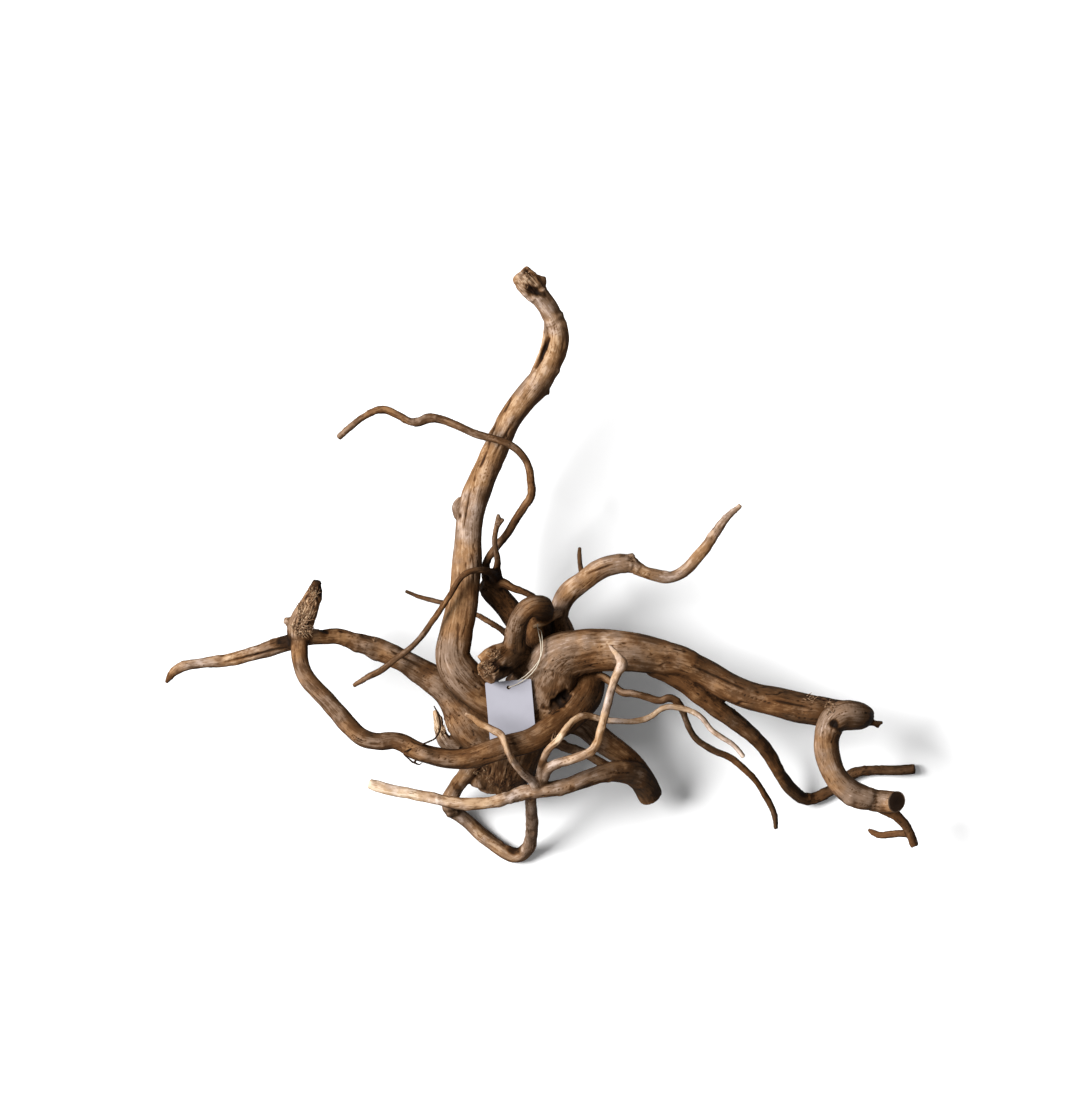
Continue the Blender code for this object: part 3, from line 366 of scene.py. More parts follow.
# The thread leaves the splinter, runs over the crown to the tag, goes through its hole and comes back.
THREAD_ROUTE = [
    (-2.8, -47, 87.2), (-2.4, -52.5, 92), (-0.6, -60, 97.5), (0, -68, 100.5), (-1, -76, 101.2),
    (-5, -84, 100.2), (-11, -90, 98.6), (-18, -94.8, 97.1), (-24, -97.2, 96.4), (-25.8, -98, 95.6),
    (-25, -97.2, 94.8), (-20, -93.4, 95.1), (-13.2, -89.2, 97.3), (-7.0, -83.4, 99.6), (-1.2, -75.6, 101.2),
    (1.2, -67.6, 100.6), (1.0, -59.4, 97.4), (0.2, -53.2, 90.5), (-1.2, -51.4, 86), (-1.7, -52, 82.5),
    (-2.2, -51.4, 79.6), (-2.4, -49.9, 79),
]

# How dark or pale each root is, from 0 to 1, at its first point and at its last.
ROUTE_TONES = {
    "trunk": (0.40, 0.40), "torn_end_lobe": (0.42, 0.40), "sawn_stem": (0.35, 0.28),
    "sawn_stem_lobe": (0.35, 0.28), "sawn_stem_ridge": (0.35, 0.28), "pale_flake": (0.44, 0.58),
    "torn_stump": (0.38, 0.38), "torn_stump_ridge": (0.45, 0.50), "vertical_arm": (0.43, 0.55),
    "arm_head_lobe": (0.50, 0.42), "arm_strand": (0.55, 0.55), "arm_knob": (0.45, 0.30),
    "arm_spur": (0.5, 0.4), "curl_root": (0.40, 0.30), "back_root": (0.25, 0.22),
    "back_root_side": (0.20, 0.18),
    "back_root_fork": (0.20, 0.28), "back_root_fork_spur": (0.25, 0.28), "whip_root": (0.14, 0.34),
    "crossing_root": (0.16, 0.28), "low_back_root": (0.20, 0.18), "upper_right_branch": (0.52, 0.50),
    "branch_knot_spike": (0.45, 0.35), "branch_splinter": (0.48, 0.50), "branch_stub": (0.15, 0.12),
    "main_right_arm": (0.48, 0.29), "trailing_root": (0.34, 0.16), "hook": (0.42, 0.48),
    "hook_spike": (0.35, 0.22), "hook_spike_side": (0.25, 0.22), "hook_twig": (0.32, 0.22),
    "hook_twig_side": (0.26, 0.20), "left_arm": (0.36, 0.42), "torn_knot": (0.54, 0.36),
    "torn_knot_tooth": (0.50, 0.50), "left_tip": (0.42, 0.42), "loop_arm": (0.34, 0.34),
    # The stub root is paler towards its end: its own paler wood, and painted light on its end, which lies in
    # shade.
    "front_limb": (0.36, 0.71), "stub_root": (0.35, 0.48), "stub_root_bridge": (0.35, 0.35),
    "floor_loop": (0.56, 0.46), "floor_loop_end": (0.42, 0.35), "pale_twig": (0.53, 0.57),
    "pale_twig_spur": (0.7, 0.6), "tag_twig": (0.60, 0.46), "short_fine_root": (0.52, 0.68),
    "long_fine_root": (0.30, 0.20),
}

# What is seen on the root from above: where it is, its size and its height or, below zero, its depth.
BUMPS = [
    (-9, 217, 4.4, -3.2), (-3, 219, 4.0, -3.6), (-16, 232, 4.5, 1.4), (0, 232, 3.5, 1.6),
    (-12, 239.5, 4, -2.4), (-8, 234, 3, -1.6), (-67.2, 40, 2.6, -1.6), (234.4, -127.2, 3.6, -2.6),
    (246.4, -191.2, 5.5, 1.8),
    (-70.4, -177.6, 4.5, 1.4), (-76.8, -197.6, 3.5, 1.2), (66.4, -78.4, 7.0, 1.6),
    (-34, -78, 4.0, -1.6), (-46, -84, 3.0, -1.4), (-56, 92, 3.5, 0.9),
    (-24, 120, 4.0, 1.2), (104, -74, 5.0, -0.8), (168, -101, 5.0, 1.0), (36, -60, 6.0, 0.9),
    (-84, -99, 5.0, 0.8), (-140, -62, 4.0, 0.8), (-160, -120, 4.0, 0.8), (-94, -150, 5.0, 0.9),
]
# Torn wood, with rough fibres: where it is, its size and how rough it is.
TORN_SPOTS = [
    (-192.8, -50, 10, 0.9), (-188, -36, 9, 1.0), (-183, -24, 8, 0.9), (-42.4, -80, 10, 1.1),
    (-34, -72, 6, 0.7), (-32.8, -173, 16, 0.4), (-47, -165, 9, 0.6), (-80, -129.6, 10, 1.1),
    (229.6, -105.6, 8, 0.9), (-10, 225, 8, 0.7), (12, -139.2, 5, 0.7), (72.8, 5, 4, 0.6),
]
# Patches that are darker, or below zero paler, than the wood round them: stains, painted shade and painted
# highlights.
STAINS_AND_PAINTED_LIGHT = [
    # Painted highlights: pale patches at (60, -58), (96, -68) and (36, -60) on the top of the main arm.
    # Painted light: the pale patch at (82, -172) on the end of the stub, which lies in shade.
    # Painted shade: dark patches at (-10.4, 222.5), (-4, 219.5) and (2.4, 216.5) in the hollow of the arm's
    # head.
    # Painted shade: dark patches at (-67.2, 40) and (234.4, -127.2) in the pits of the arm's knob and the
    # hook.
    # Painted shade: dark patches at (8, -100), (15, -109), (9, -115) and (21, -103) in the crevice by the
    # loop arm.
    (-179.2, -19, 9, 0.40), (-204.8, -60, 9, 0.42), (-213, -61, 5, 0.2), (-173, -53, 5, 0.25),
    (-42.4, -80, 8, 0.16), (-20.8, -227, 7, 0.38), (-10.4, 222.5, 3.5, 0.5),
    (-67.2, 40, 3, 0.35), (234.4, -127.2, 4, 0.40), (-80, -129.6, 9, -0.12), (14.4, -139.2, 5, -0.22),
    (-32.8, -173, 16, 0.05), (-62, 45, 18, -0.04), (266, -126, 8, 0.30), (96, -184, 10, 0.12),
    (82, -172, 9, -0.12), (-36, -70, 7, 0.02), (12, -50, 9, 0.2), (-4, 219.5, 4, 0.5),
    (2.4, 216.5, 3.5, 0.45),
    (-262, -76, 15, -0.08), (-240, -70, 15, -0.10), (-297, -92, 6, 0.25), (8, -100, 8, 0.15),
    (15, -109, 5.5, 0.45), (9, -115, 4.5, 0.4),
    (21, -103, 4, 0.35), (-68, -178, 5, 0.3), (-74, -197, 6, 0.35), (25, -179, 3, 0.3), (-1, -160, 5, 0.25),
    (-52, -76, 3.5, 0.25), (-38, -66, 4, 0.3), (110, -103, 10, 0.10), (150, -112, 9, 0.10),
    (36, -78, 9, 0.12), (-32, 20, 12, -0.05), (-60, -20, 10, 0.08), (-66, 20, 12, -0.06),
    (60, -58, 13, -0.16), (96, -68, 12, -0.10), (36, -60, 9, -0.10), (16, -24, 9, 0.12), (-92, -84, 8, 0.10),
]
# Splinters on a piece: where they start, their heading and spread in degrees, how many there are as a share
# of the usual number, their length and how far apart they start.
SPLINTERS = {
    "torn_knot": [
        (-190, -42, 76, 12, 6.0, 11, 5), (-192, -52, 60, 50, 5.0, 7, 6), (-184, -28, 72, 10, 4.0, 9, 3),
        (-189, -52, 20, 60, 2.0, 6, 5),
    ],
    "crown": [
        (-43, -82, 215, 45, 3.0, 4, 6), (-37, -71, 150, 40, 2.0, 5, 5), (-36, -178, 255, 40, 0.6, 4, 12),
        (-79, -134, 100, 20, 0.8, 6, 4), (-47, -166, 200, 40, 0.8, 5, 6), (10, -141, 60, 30, 0.8, 6, 4),
    ],
    "main_right_arm": [(214, -109, 10, 25, 1.2, 5, 5)],
    "hook": [(231, -114, 330, 60, 2.0, 4, 4)],
    "left_arm": [(-133, -61, 120, 25, 0.3, 4, 1.5)],
    "vertical_arm": [(-12, 229, 60, 60, 1.0, 2.5, 6)],
}
# Dark rootlets on a piece, each a route of (x, y, z, radius).
ROOTLETS = {
    "loop_arm": [
        [
            (-96, -147, 115, 0.9), (-95.2, -143.8, 118, 0.8), (-90.4, -141.6, 118, 0.8),
            (-84, -138, 115, 0.75), (-80.4, -128.8, 110, 0.7), (-82.4, -119.2, 106, 0.7),
            (-85.6, -112.8, 103, 0.5),
        ],
        [
            (-98, -149, 115, 1.0), (-100, -146, 117, 0.9), (-104.8, -147.6, 118, 0.8),
            (-109.6, -149.6, 118, 0.4),
        ],
        [
            (-99, -153, 112, 1.0), (-101.6, -158, 112, 0.9), (-106.4, -154.4, 114, 0.7),
            (-110, -151.6, 115, 0.4),
        ],
        [(-101.6, -158, 112, 0.9), (-97.6, -159.6, 110, 0.6), (-95, -158, 109, 0.3)],
    ],
}
# Long cracks: from here, to here, their width and their depth.
CRACKS = [
    (5.4, -117.2, 22.6, -100.6, 3.6, 6.5), (-32, -83, -8, -89, 3.2, 6.0),
    (6.8, 182.4, -5.0, 157.1, 1.6, 3.2), (-177.6, -51.2, -169.6, -54.4, 1.3, 1.6),
    (-62, 30, -57, 62, 0.9, 0.9), (-254, -78, -206, -66, 1.0, 1.2),
    (-288, -76, -268, -73, 0.8, 0.8), (-24, 135, -29, 122, 0.9, 0.9), (-36, 116, -43, 92, 0.9, 1.0),
    (-43, 92, -49, 78, 0.9, 0.9), (-66, -70, -67, -20, 0.9, 0.8),
    (120, -80, 165, -100, 0.9, 0.9), (-120, -69, -95, -82, 0.9, 0.9), (-70, -152, -30, -148, 0.9, 0.8),
    (-38, 88, -20, 118, 0.9, 0.8), (185, -108, 215, -114, 0.9, 0.8), (36, -7, 58, 1, 0.8, 0.7),
]

STEP = 1.3  # the distance between the samples along a route
SKIN_ROUNDING = 3  # how often the skin is smoothed before it gets its relief
POINTS_AT_ONCE = 6000  # how many points are measured against a route together
FORK_REACH = 5.0  # how far past one root's surface its grain still blends with its neighbour's
FORK_BLEND = 1.2  # the distance over which a root's share fades there
GRAIN_TWIST = 0.006  # how far the grain turns round a root, in radians a millimetre
FLOOR_CLEARANCE = 0.05
TOP_REACH = 3  # how far to the side the top of the wood is looked for
WOBBLE_SEED, FIBRE_SEEDS, SPECKLE_SEED, SPLINTER_SEED = 71, (72, 73), 75, 900

SPLINTER_RADIUS, SPLINTER_TAPER = 0.42, 0.85
SPLINTER_SINK = 1.0  # how deep in the wood a splinter starts
SPLINTER_LIFT = 0.9  # how far its tip rises, and past that by up to SPLINTER_RISE of its length
SPLINTER_RISE, SPLINTER_BEND = 0.10, 0.25

# The relief's heights, as shares of a root's radius and then, for its fine parts, of the relief's depth.
OVAL_SHARE, RIB_SHARE, LUMP_SHARE, KNUCKLE_SHARE = 0.045, 0.03, 0.08, 0.22
FURROW_SHARE, RIDGE_SHARE, CRACK_SHARE = 0.22, 0.12, 0.8
FURROW_WIDTH, FURROW_WIDTHS = 0.42, (1.7, 4.5)  # a furrow's width in radii, and its least and its most
CRACK_SPACING, CRACK_SPACINGS = 0.5, (2, 5)  # how far apart cracks are, in the same way
KNUCKLE_RADIUS = 5  # no knuckle is higher than on a root of this radius
TORN_RELIEF, TORN_SINK = 1.3, 0.3  # how far torn fibres stand out, and how far torn wood lies back
CRACK_LEVEL = 9  # how far above or below its line a long crack still marks the wood

# How dark the marks are, where 1 is from the palest wood to the darkest. Pits and cracks get painted shade.
PAINTED_PIT_SHADE, BUMP_SHADE, PAINTED_CRACK_SHADE, PAINTED_SHADE_OF_LONG_CRACKS = 0.22, 0.04, 0.25, 0.3
CREVICE_STEPS = 10  # how often the wood is smoothed to see which of its points lie deep
PAINTED_CREVICE_SHADE = 0.27  # painted shade: how much darker wood is painted that lies a millimetre deep
CREVICE_RANGE = (-0.5, 1.6)  # past these depths it gets no paler or darker
# Painted light and shade: wood facing up and a little towards the lamp is painted paler, the far side darker.
PAINTED_LIGHT_SIDE = (-0.42, 0.10, 0.90)
PAINTED_LIGHT_SHARE = 0.32  # how much paler the wood is painted that faces that side
EVEN_FACING = 0.52  # how far wood faces that side where the painted light changes nothing
LEAST_FACING = -0.35  # wood that faces further away gets no darker painted shade

# The wood round a saw cut: its reach as a share of the root's radius, a margin, and how far to each side.
KERF_REACH, KERF_MARGIN, KERF_DEPTH = 1.28, 0.8, 4.0
HOLD_REACH = 1.5  # how near the skin of its piece a route's point lies, in radii
MOST_CRUMB_POINTS = 400  # a sawn bit without a name that has more points than this is a mistake


def settings():
    return bpy.context.scene.bog_root


def deselect_all():
    if bpy.context.mode != "OBJECT":
        bpy.ops.object.mode_set(mode="OBJECT")
    bpy.ops.object.select_all(action="DESELECT")


def select_only(*objects):
    deselect_all()
    for obj in objects:
        obj.select_set(True)
    bpy.context.view_layer.objects.active = objects[0]


def shift():
    """How far the part's source moved everything sideways, read from where the tag's node lies."""
    low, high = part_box("tag_card")
    middle = (Vector(low) + Vector(high)) / 2
    return Vector((middle.x - TAG_CENTRE[0] * MM, middle.y - TAG_CENTRE[1] * MM, 0)) / MM


def rod_curve(name, radius, roundness):
    """A curve without points yet, which is shown as a closed round rod."""
    curve = bpy.data.curves.new(name, "CURVE")
    curve.dimensions = "3D"
    curve.bevel_depth = radius
    curve.bevel_resolution = roundness
    curve.use_fill_caps = True
    return curve


def in_scene(name, data):
    """A new object in the scene that holds this curve."""
    made = bpy.data.objects.new(name, data)
    bpy.context.scene.collection.objects.link(made)
    return made


def tube(name, points, roundness, steps):
    """A round tapering curve through points of (x, y, z, radius), moved to where the part lies."""
    curve = rod_curve(name, MM, roundness)
    curve.resolution_u = steps
    spline = curve.splines.new("BEZIER")
    spline.bezier_points.add(len(points) - 1)
    move = shift()
    for knot, (x, y, z, radius) in zip(spline.bezier_points, points):
        knot.co = (Vector((x, y, z)) + move) * MM
        knot.radius = radius
        knot.handle_left_type = knot.handle_right_type = "AUTO"
    return in_scene(name, curve)


def apply_modifier(obj, kind, **values):
    """Adds a modifier with these values and applies it."""
    modifier = obj.modifiers.new(kind.lower(), kind)
    for key, value in values.items():
        setattr(modifier, key, value)
    select_only(obj)
    bpy.ops.object.modifier_apply(modifier=modifier.name)


def noise(points, seed):
    """Smooth noise, about -1 to 1, that changes over a distance of 1."""
    rng = np.random.default_rng(seed)
    order = np.tile(rng.permutation(256), 2)
    slopes = rng.normal(size=(256, 3))
    slopes /= np.linalg.norm(slopes, axis=1, keepdims=True)
    cell = np.floor(points).astype(np.int64)
    inside = points - cell
    fade = inside**3 * (inside * (inside * 6 - 15) + 10)
    cell &= 255
    total = np.zeros(len(points))
    for corner in range(8):
        step = np.array([corner & 1, corner >> 1 & 1, corner >> 2 & 1])
        x, y, z = ((cell + step) & 255).T
        share = np.where(step == 1, fade, 1 - fade).prod(axis=1)
        total += share * (slopes[order[order[order[x] + y] + z]] * (inside - step)).sum(axis=1)
    return total * 1.6


def smoothstep(low, high, value):
    """Turns low to high into 0 to 1, smoothly."""
    share = np.clip((value - low) / (high - low), 0, 1)
    return share * share * (3 - 2 * share)


def between(a, b, c, d, t):
    """The point at a share t of the way from b to c, on the Catmull-Rom curve through a, b, c and d."""
    return (2 * b + (c - a) * t + (2 * a - 5 * b + 4 * c - d) * t**2 + (3 * b - a - 3 * c + d) * t**3) / 2


def smooth_points(route, count):
    """Evenly spread points on a Catmull-Rom curve through the route's own points."""
    knots = [Vector(point) for point in route]
    knots = [2 * knots[0] - knots[1], *knots, 2 * knots[-1] - knots[-2]]
    spans = len(knots) - 3
    found = []
    for number in range(count):
        place = number * spans / (count - 1)
        span = min(int(place), spans - 1)
        found.append(between(*knots[span : span + 4], place - span))
    return found


def route_line(points):
    """Samples along a route's curve: places, radii, lengths so far, directions and two cross axes."""
    knots = np.array(points, float)
    knots = np.vstack([2 * knots[0] - knots[1], knots, 2 * knots[-1] - knots[-2]])
    samples = []
    for span in range(len(knots) - 3):
        a, b, c, d = knots[span : span + 4]
        count = max(2, int(np.linalg.norm((c - b)[:3]) / STEP))
        samples.append(between(a, b, c, d, np.arange(count)[:, None] / count))
    samples = np.vstack([*samples, knots[-2]])
    places, radii = samples[:, :3], np.maximum(samples[:, 3], 0.8)
    lengths = np.concatenate([[0], np.cumsum(np.linalg.norm(np.diff(places, axis=0), axis=1))])
    ahead = np.gradient(places, axis=0)
    ahead /= np.linalg.norm(ahead, axis=1, keepdims=True)
    side = np.cross(ahead[0], (0, 0, 1) if abs(ahead[0][2]) < 0.9 else (0, 1, 0))
    sides = []
    for direction in ahead:
        side = side - direction * (side @ direction)
        side /= np.linalg.norm(side)
        sides.append(side)
    sides = np.array(sides)
    return places, radii, lengths, ahead, sides, np.cross(ahead, sides)


def wood_relief(seed, across, along, radius):
    """How far the wood stands out, in millimetres, from its place across and along its root."""
    depth = settings().relief
    angle = np.arctan2(across[:, 1], across[:, 0])
    turn = 2.5 * noise(np.column_stack([along / (7 * radius), radius * 0, radius * 0 + seed]), seed + 1)
    unit = across / radius[:, None]
    lumps = noise(np.column_stack([unit * 0.8, along / (2.2 * radius)]) + seed, seed + 2)
    knuckle_place = np.column_stack([unit * 0.7, along / (1.5 * radius)])
    knuckles = np.maximum(noise(knuckle_place + seed, seed + 3) - 0.25, 0)
    width = np.clip(FURROW_WIDTH * radius, *FURROW_WIDTHS)
    furrow_place = np.column_stack([across / width[:, None], along / (11 * width)])
    furrows = 0.35 - np.abs(noise(furrow_place + seed, seed + 4))
    ridges = noise(np.column_stack([across / 1.9, along / 16]) + seed, seed + 5)
    spacing = np.clip(CRACK_SPACING * radius, *CRACK_SPACINGS)
    crack_place = np.column_stack([across / spacing[:, None], along / 45])
    cracks = np.exp(-((noise(crack_place + seed, seed + 6) / 0.035) ** 2))
    cracks *= smoothstep(0.0, 0.3, noise(np.column_stack([across / 12, along / 30]) + seed, seed + 7))
    scale = np.clip(radius / 10, 0.25, 1.3)
    fine = np.sqrt(scale)
    height = OVAL_SHARE * radius * np.cos(2 * (angle - turn)) + RIB_SHARE * radius * np.cos(3 * angle + turn)
    height += LUMP_SHARE * radius * lumps + KNUCKLE_SHARE * np.minimum(radius, KNUCKLE_RADIUS) * knuckles
    height += depth * (
        FURROW_SHARE * scale * furrows + RIDGE_SHARE * fine * ridges - CRACK_SHARE * fine * cracks
    )
    return height, cracks


def follow_routes(points):
    """For each point on the wood: its place in its root's grain, its tone, its relief and its cracks."""
    count = len(points)
    nearest = np.full(count, np.inf)
    grain = np.zeros((count, 3))
    tone = np.zeros(count)
    relief, cracks, weights = np.zeros(count), np.zeros(count), np.zeros(count)
    for number, (name, route) in enumerate(ROUTES.items()):
        places, radii, lengths, ahead, sides, ups = route_line(route)
        reach = radii.max() + FORK_REACH
        near = ((points > places.min(0) - reach) & (points < places.max(0) + reach)).all(axis=1)
        first_tone, last_tone = ROUTE_TONES[name]
        for chunk in np.array_split(np.nonzero(near)[0], max(1, near.sum() // POINTS_AT_ONCE)):
            here = points[chunk]
            squares = (here**2).sum(1)[:, None] + (places**2).sum(1) - 2 * here @ places.T
            gaps = np.sqrt(np.maximum(squares, 0)) - radii
            spot = gaps.argmin(axis=1)
            gap = gaps[np.arange(len(chunk)), spot]
            close = gap < FORK_REACH
            chunk, here, spot, gap = chunk[close], here[close], spot[close], gap[close]
            offset = here - places[spot]
            along = lengths[spot] + (offset * ahead[spot]).sum(1)
            cos, sin = np.cos(GRAIN_TWIST * along), np.sin(GRAIN_TWIST * along)
            x, y = (offset * sides[spot]).sum(1), (offset * ups[spot]).sum(1)
            across = np.column_stack([cos * x - sin * y, sin * x + cos * y])
            height, crack = wood_relief(10 * number, across, along, radii[spot])
            weight = np.exp(-np.maximum(gap + 1, 0) / FORK_BLEND)
            relief[chunk] += weight * height
            cracks[chunk] += weight * crack
            tone[chunk] += weight * (first_tone + (last_tone - first_tone) * along / lengths[-1])
            weights[chunk] += weight
            better = gap < nearest[chunk]
            nearest[chunk[better]] = gap[better]
            grain[chunk[better]] = np.column_stack([across, along])[better] + 13.0 * number
    weights = np.maximum(weights, 1e-9)
    return grain, tone / weights, relief / weights, cracks / weights


def mesh_arrays(mesh):
    """The mesh's points and normals in millimetres, and its edges."""
    count = len(mesh.vertices)
    points, normals = np.empty(count * 3, np.float32), np.empty(count * 3, np.float32)
    mesh.vertices.foreach_get("co", points)
    mesh.vertex_normals.foreach_get("vector", normals)
    edges = np.empty(len(mesh.edges) * 2, np.int32)
    mesh.edges.foreach_get("vertices", edges)
    points = points.reshape(-1, 3).astype(float) / MM
    return points, normals.reshape(-1, 3).astype(float), edges.reshape(-1, 2)


def neighbour_mean(values, edges):
    """The mean of each point's neighbours."""
    ends = np.concatenate([edges[:, 0], edges[:, 1]])
    others = np.concatenate([edges[:, 1], edges[:, 0]])
    count = np.maximum(np.bincount(ends, minlength=len(values)), 1)
    sums = [np.bincount(ends, values[others, axis], len(values)) for axis in range(3)]
    return np.column_stack(sums) / count[:, None]


def crevices(points, normals, edges):
    """How deep each point lies in the wood round it: above zero in forks and furrows, below it on ridges."""
    smooth = points
    for _ in range(CREVICE_STEPS):
        smooth = neighbour_mean(smooth, edges)
    return ((smooth - points) * normals).sum(axis=1)


def top_spot(points, x, y):
    """The highest point of the wood within a few millimetres of a place seen from above."""
    gaps = (points[:, 0] - x) ** 2 + (points[:, 1] - y) ** 2
    close = gaps < TOP_REACH**2
    if not close.any():
        close = gaps <= gaps.min() + 1
    return np.array([x, y, points[close, 2].max()])


def seen_details(points, grain):
    """Relief, tone and torn wood seen from above: bumps, pits, torn spots, stains, painted shade and light,
    cracks.
    """
    move = np.array([*shift()])
    height, tone, torn = np.zeros(len(points)), np.zeros(len(points)), np.zeros(len(points))
    wobble = 1 + 0.35 * noise(points / 5, WOBBLE_SEED)

    def gap_to(x, y, size):
        spot = top_spot(points, x + move[0], y + move[1])
        return np.linalg.norm(points - spot, axis=1) * wobble / size

    for x, y, size, lift in BUMPS:
        gap = gap_to(x, y, size)
        height += lift * np.exp(-(gap**2))
        # Pits get painted shade, and bumps a little darker wood.
        shade = PAINTED_PIT_SHADE if lift < 0 else BUMP_SHADE
        tone -= shade * np.exp(-((gap / 0.9) ** 2)) * min(abs(lift), 2)
    fibres = noise(grain * (0.9, 0.9, 0.07), FIBRE_SEEDS[0])
    fibres += 0.6 * noise(grain * (0.45, 0.45, 0.16), FIBRE_SEEDS[1])
    for x, y, size, strength in TORN_SPOTS:
        share = 1 - smoothstep(0.6, 1.25, gap_to(x, y, size))
        height += strength * share * (TORN_RELIEF * fibres - TORN_SINK)
        torn = np.maximum(torn, share * min(strength, 1))
    for x, y, size, darkness in STAINS_AND_PAINTED_LIGHT:
        tone -= darkness * (1 - smoothstep(0.5, 1.2, gap_to(x, y, size)))
    for x0, y0, x1, y1, width, depth in CRACKS:
        start = top_spot(points, x0 + move[0], y0 + move[1])
        end = top_spot(points, x1 + move[0], y1 + move[1])
        run = end - start
        share = np.clip(((points - start) @ run) / (run @ run), 0, 1)
        gap = np.linalg.norm((points - start - share[:, None] * run)[:, :2], axis=1) * wobble
        level = np.abs(points[:, 2] - start[2] - share * run[2]) < CRACK_LEVEL
        taper = np.sqrt(np.maximum(4 * share * (1 - share), 0))
        mark = np.exp(-((gap / width) ** 2)) * level * taper
        height -= depth * mark
        # Long cracks get painted shade.
        tone -= PAINTED_SHADE_OF_LONG_CRACKS * mark
    return height, tone, torn


def saw_ends(points):
    """Cuts the wood flat at the hook's end and at the floor. Returns what is sawn and its rings."""
    normal = np.array(Vector(HOOK_END_NORMAL).normalized())
    offset = points - np.array(HOOK_END + shift())
    beyond = offset @ normal
    cut = (np.linalg.norm(offset, axis=1) < HOOK_END_REACH) & (beyond > 0)
    points[cut] -= normal * beyond[cut][:, None]
    ring = np.full(len(points), FOOT_RING)
    middle = (points[cut].min(axis=0) + points[cut].max(axis=0)) / 2
    ring[cut] = np.linalg.norm(points[cut] - middle, axis=1) / HOOK_END_RADIUS
    under = points[:, 2] < FLOOR_CLEARANCE
    points[under, 2] = FLOOR_CLEARANCE
    return np.maximum(cut, under).astype(float), ring


def store(mesh, name, kind, values):
    """Keeps a value for each point of the mesh under a name that the material reads."""
    layer = mesh.attributes.new(name, kind, "POINT")
    layer.data.foreach_set("vector" if kind == "FLOAT_VECTOR" else "value", values.astype(np.float32).ravel())


def skin_roots():
    """One closed surface round all the roots, with the wood's relief and its grain, tone and roughness."""
    tubes = [tube(f"route_{name}", points, roundness=7, steps=7) for name, points in ROUTES.items()]
    select_only(*tubes)
    bpy.ops.object.convert(target="MESH")
    bpy.ops.object.join()
    wood = bpy.context.view_layer.objects.active
    select_only(wood)
    bpy.ops.object.mode_set(mode="EDIT")
    bpy.ops.mesh.select_all(action="SELECT")
    bpy.ops.mesh.remove_doubles(threshold=0.00001)
    bpy.ops.object.mode_set(mode="OBJECT")
    apply_modifier(wood, "REMESH", mode="VOXEL", voxel_size=settings().voxel * MM)
    apply_modifier(wood, "SMOOTH", factor=0.5, iterations=SKIN_ROUNDING)
    mesh = wood.data
    move = np.array([*shift()])
    points, normals, edges = mesh_arrays(mesh)
    grain, tone, relief, cracks = follow_routes(points - move)
    lift, marks_and_painted_light, torn = seen_details(points, grain)
    points += normals * (relief + lift)[:, None]
    sawn, ring = saw_ends(points)
    mesh.vertices.foreach_set("co", (points * MM).astype(np.float32).ravel())
    mesh.update()
    points, normals, edges = mesh_arrays(mesh)
    hollow = crevices(points, normals, edges)
    # Painted light and shade: paler where the wood faces up and towards the lamp, darker where it faces away.
    painted_light = PAINTED_LIGHT_SHARE * (np.maximum(normals @ np.array(PAINTED_LIGHT_SIDE), LEAST_FACING) - EVEN_FACING)
    # Cracks get painted shade here; the marks bring stains, painted shade and painted highlights.
    tone = tone + marks_and_painted_light + painted_light - PAINTED_CRACK_SHADE * cracks
    # Deep crevices get painted shade, and ridges a little painted light.
    tone = tone - PAINTED_CREVICE_SHADE * np.clip(hollow, *CREVICE_RANGE)
    store(mesh, "grain", "FLOAT_VECTOR", grain)
    store(mesh, "tone", "FLOAT", np.clip(tone, 0, 1))
    store(mesh, "torn", "FLOAT", torn)
    store(mesh, "sawn", "FLOAT", sawn)
    store(mesh, "ring", "FLOAT", ring)
    return wood


def place_on_route(route, place):
    """The point, the direction and the radius at a place on a route that is counted in points."""
    points = ROUTES[route]
    first = min(int(place), len(points) - 2)
    share = place - first
    here = Vector(points[first]).lerp(Vector(points[first + 1]), share)
    before = Vector(points[max(first - (share == 0), 0)]).to_3d()
    direction = (Vector(points[first + 1]).to_3d() - before).normalized()
    return here.to_3d() + shift(), direction, here[3]


def kerf_edges(shape):
    """The edges of the wood that the saw cuts follow."""
    centres = np.array([face.calc_center_median() for face in shape.faces]) / MM
    found = set()
    for route, place in SAW_CUTS:
        centre, direction, radius = place_on_route(route, place)
        offset = centres - np.array(centre)
        ahead = offset @ np.array(direction)
        away = np.linalg.norm(offset - ahead[:, None] * np.array(direction), axis=1)
        reach = radius * KERF_REACH + KERF_MARGIN
        for index in np.nonzero((np.abs(ahead) < KERF_DEPTH) & (away < reach))[0]:
            if ahead[index] < 0:
                continue
            for edge in shape.faces[index].edges:
                for other in edge.link_faces:
                    if ahead[other.index] < 0 and abs(ahead[other.index]) < KERF_DEPTH:
                        found.add(edge)
    return list(found)


def close_ends(piece):
    """Closes a sawn piece where it was cut, with sharp rims."""
    shape = bmesh.new()
    shape.from_mesh(piece.data)
    rims = [edge for edge in shape.edges if edge.is_boundary]
    faces = bmesh.ops.holes_fill(shape, edges=rims, sides=0)["faces"]
    for edge in rims:
        edge.smooth = False
    bmesh.ops.triangulate(shape, faces=faces)
    bmesh.ops.recalc_face_normals(shape, faces=shape.faces)
    shape.to_mesh(piece.data)
    shape.free()
    if any(edge.is_loose for edge in piece.data.edges):
        raise RuntimeError(f"{piece.name} has loose edges")


def holds(piece, point, radius):
    """Whether the piece is the one that surrounds this point of a route."""
    _, spot, normal, _ = piece.closest_point_on_mesh(point)
    return (spot - point).dot(normal) > 0 and (spot - point).length < radius * HOLD_REACH


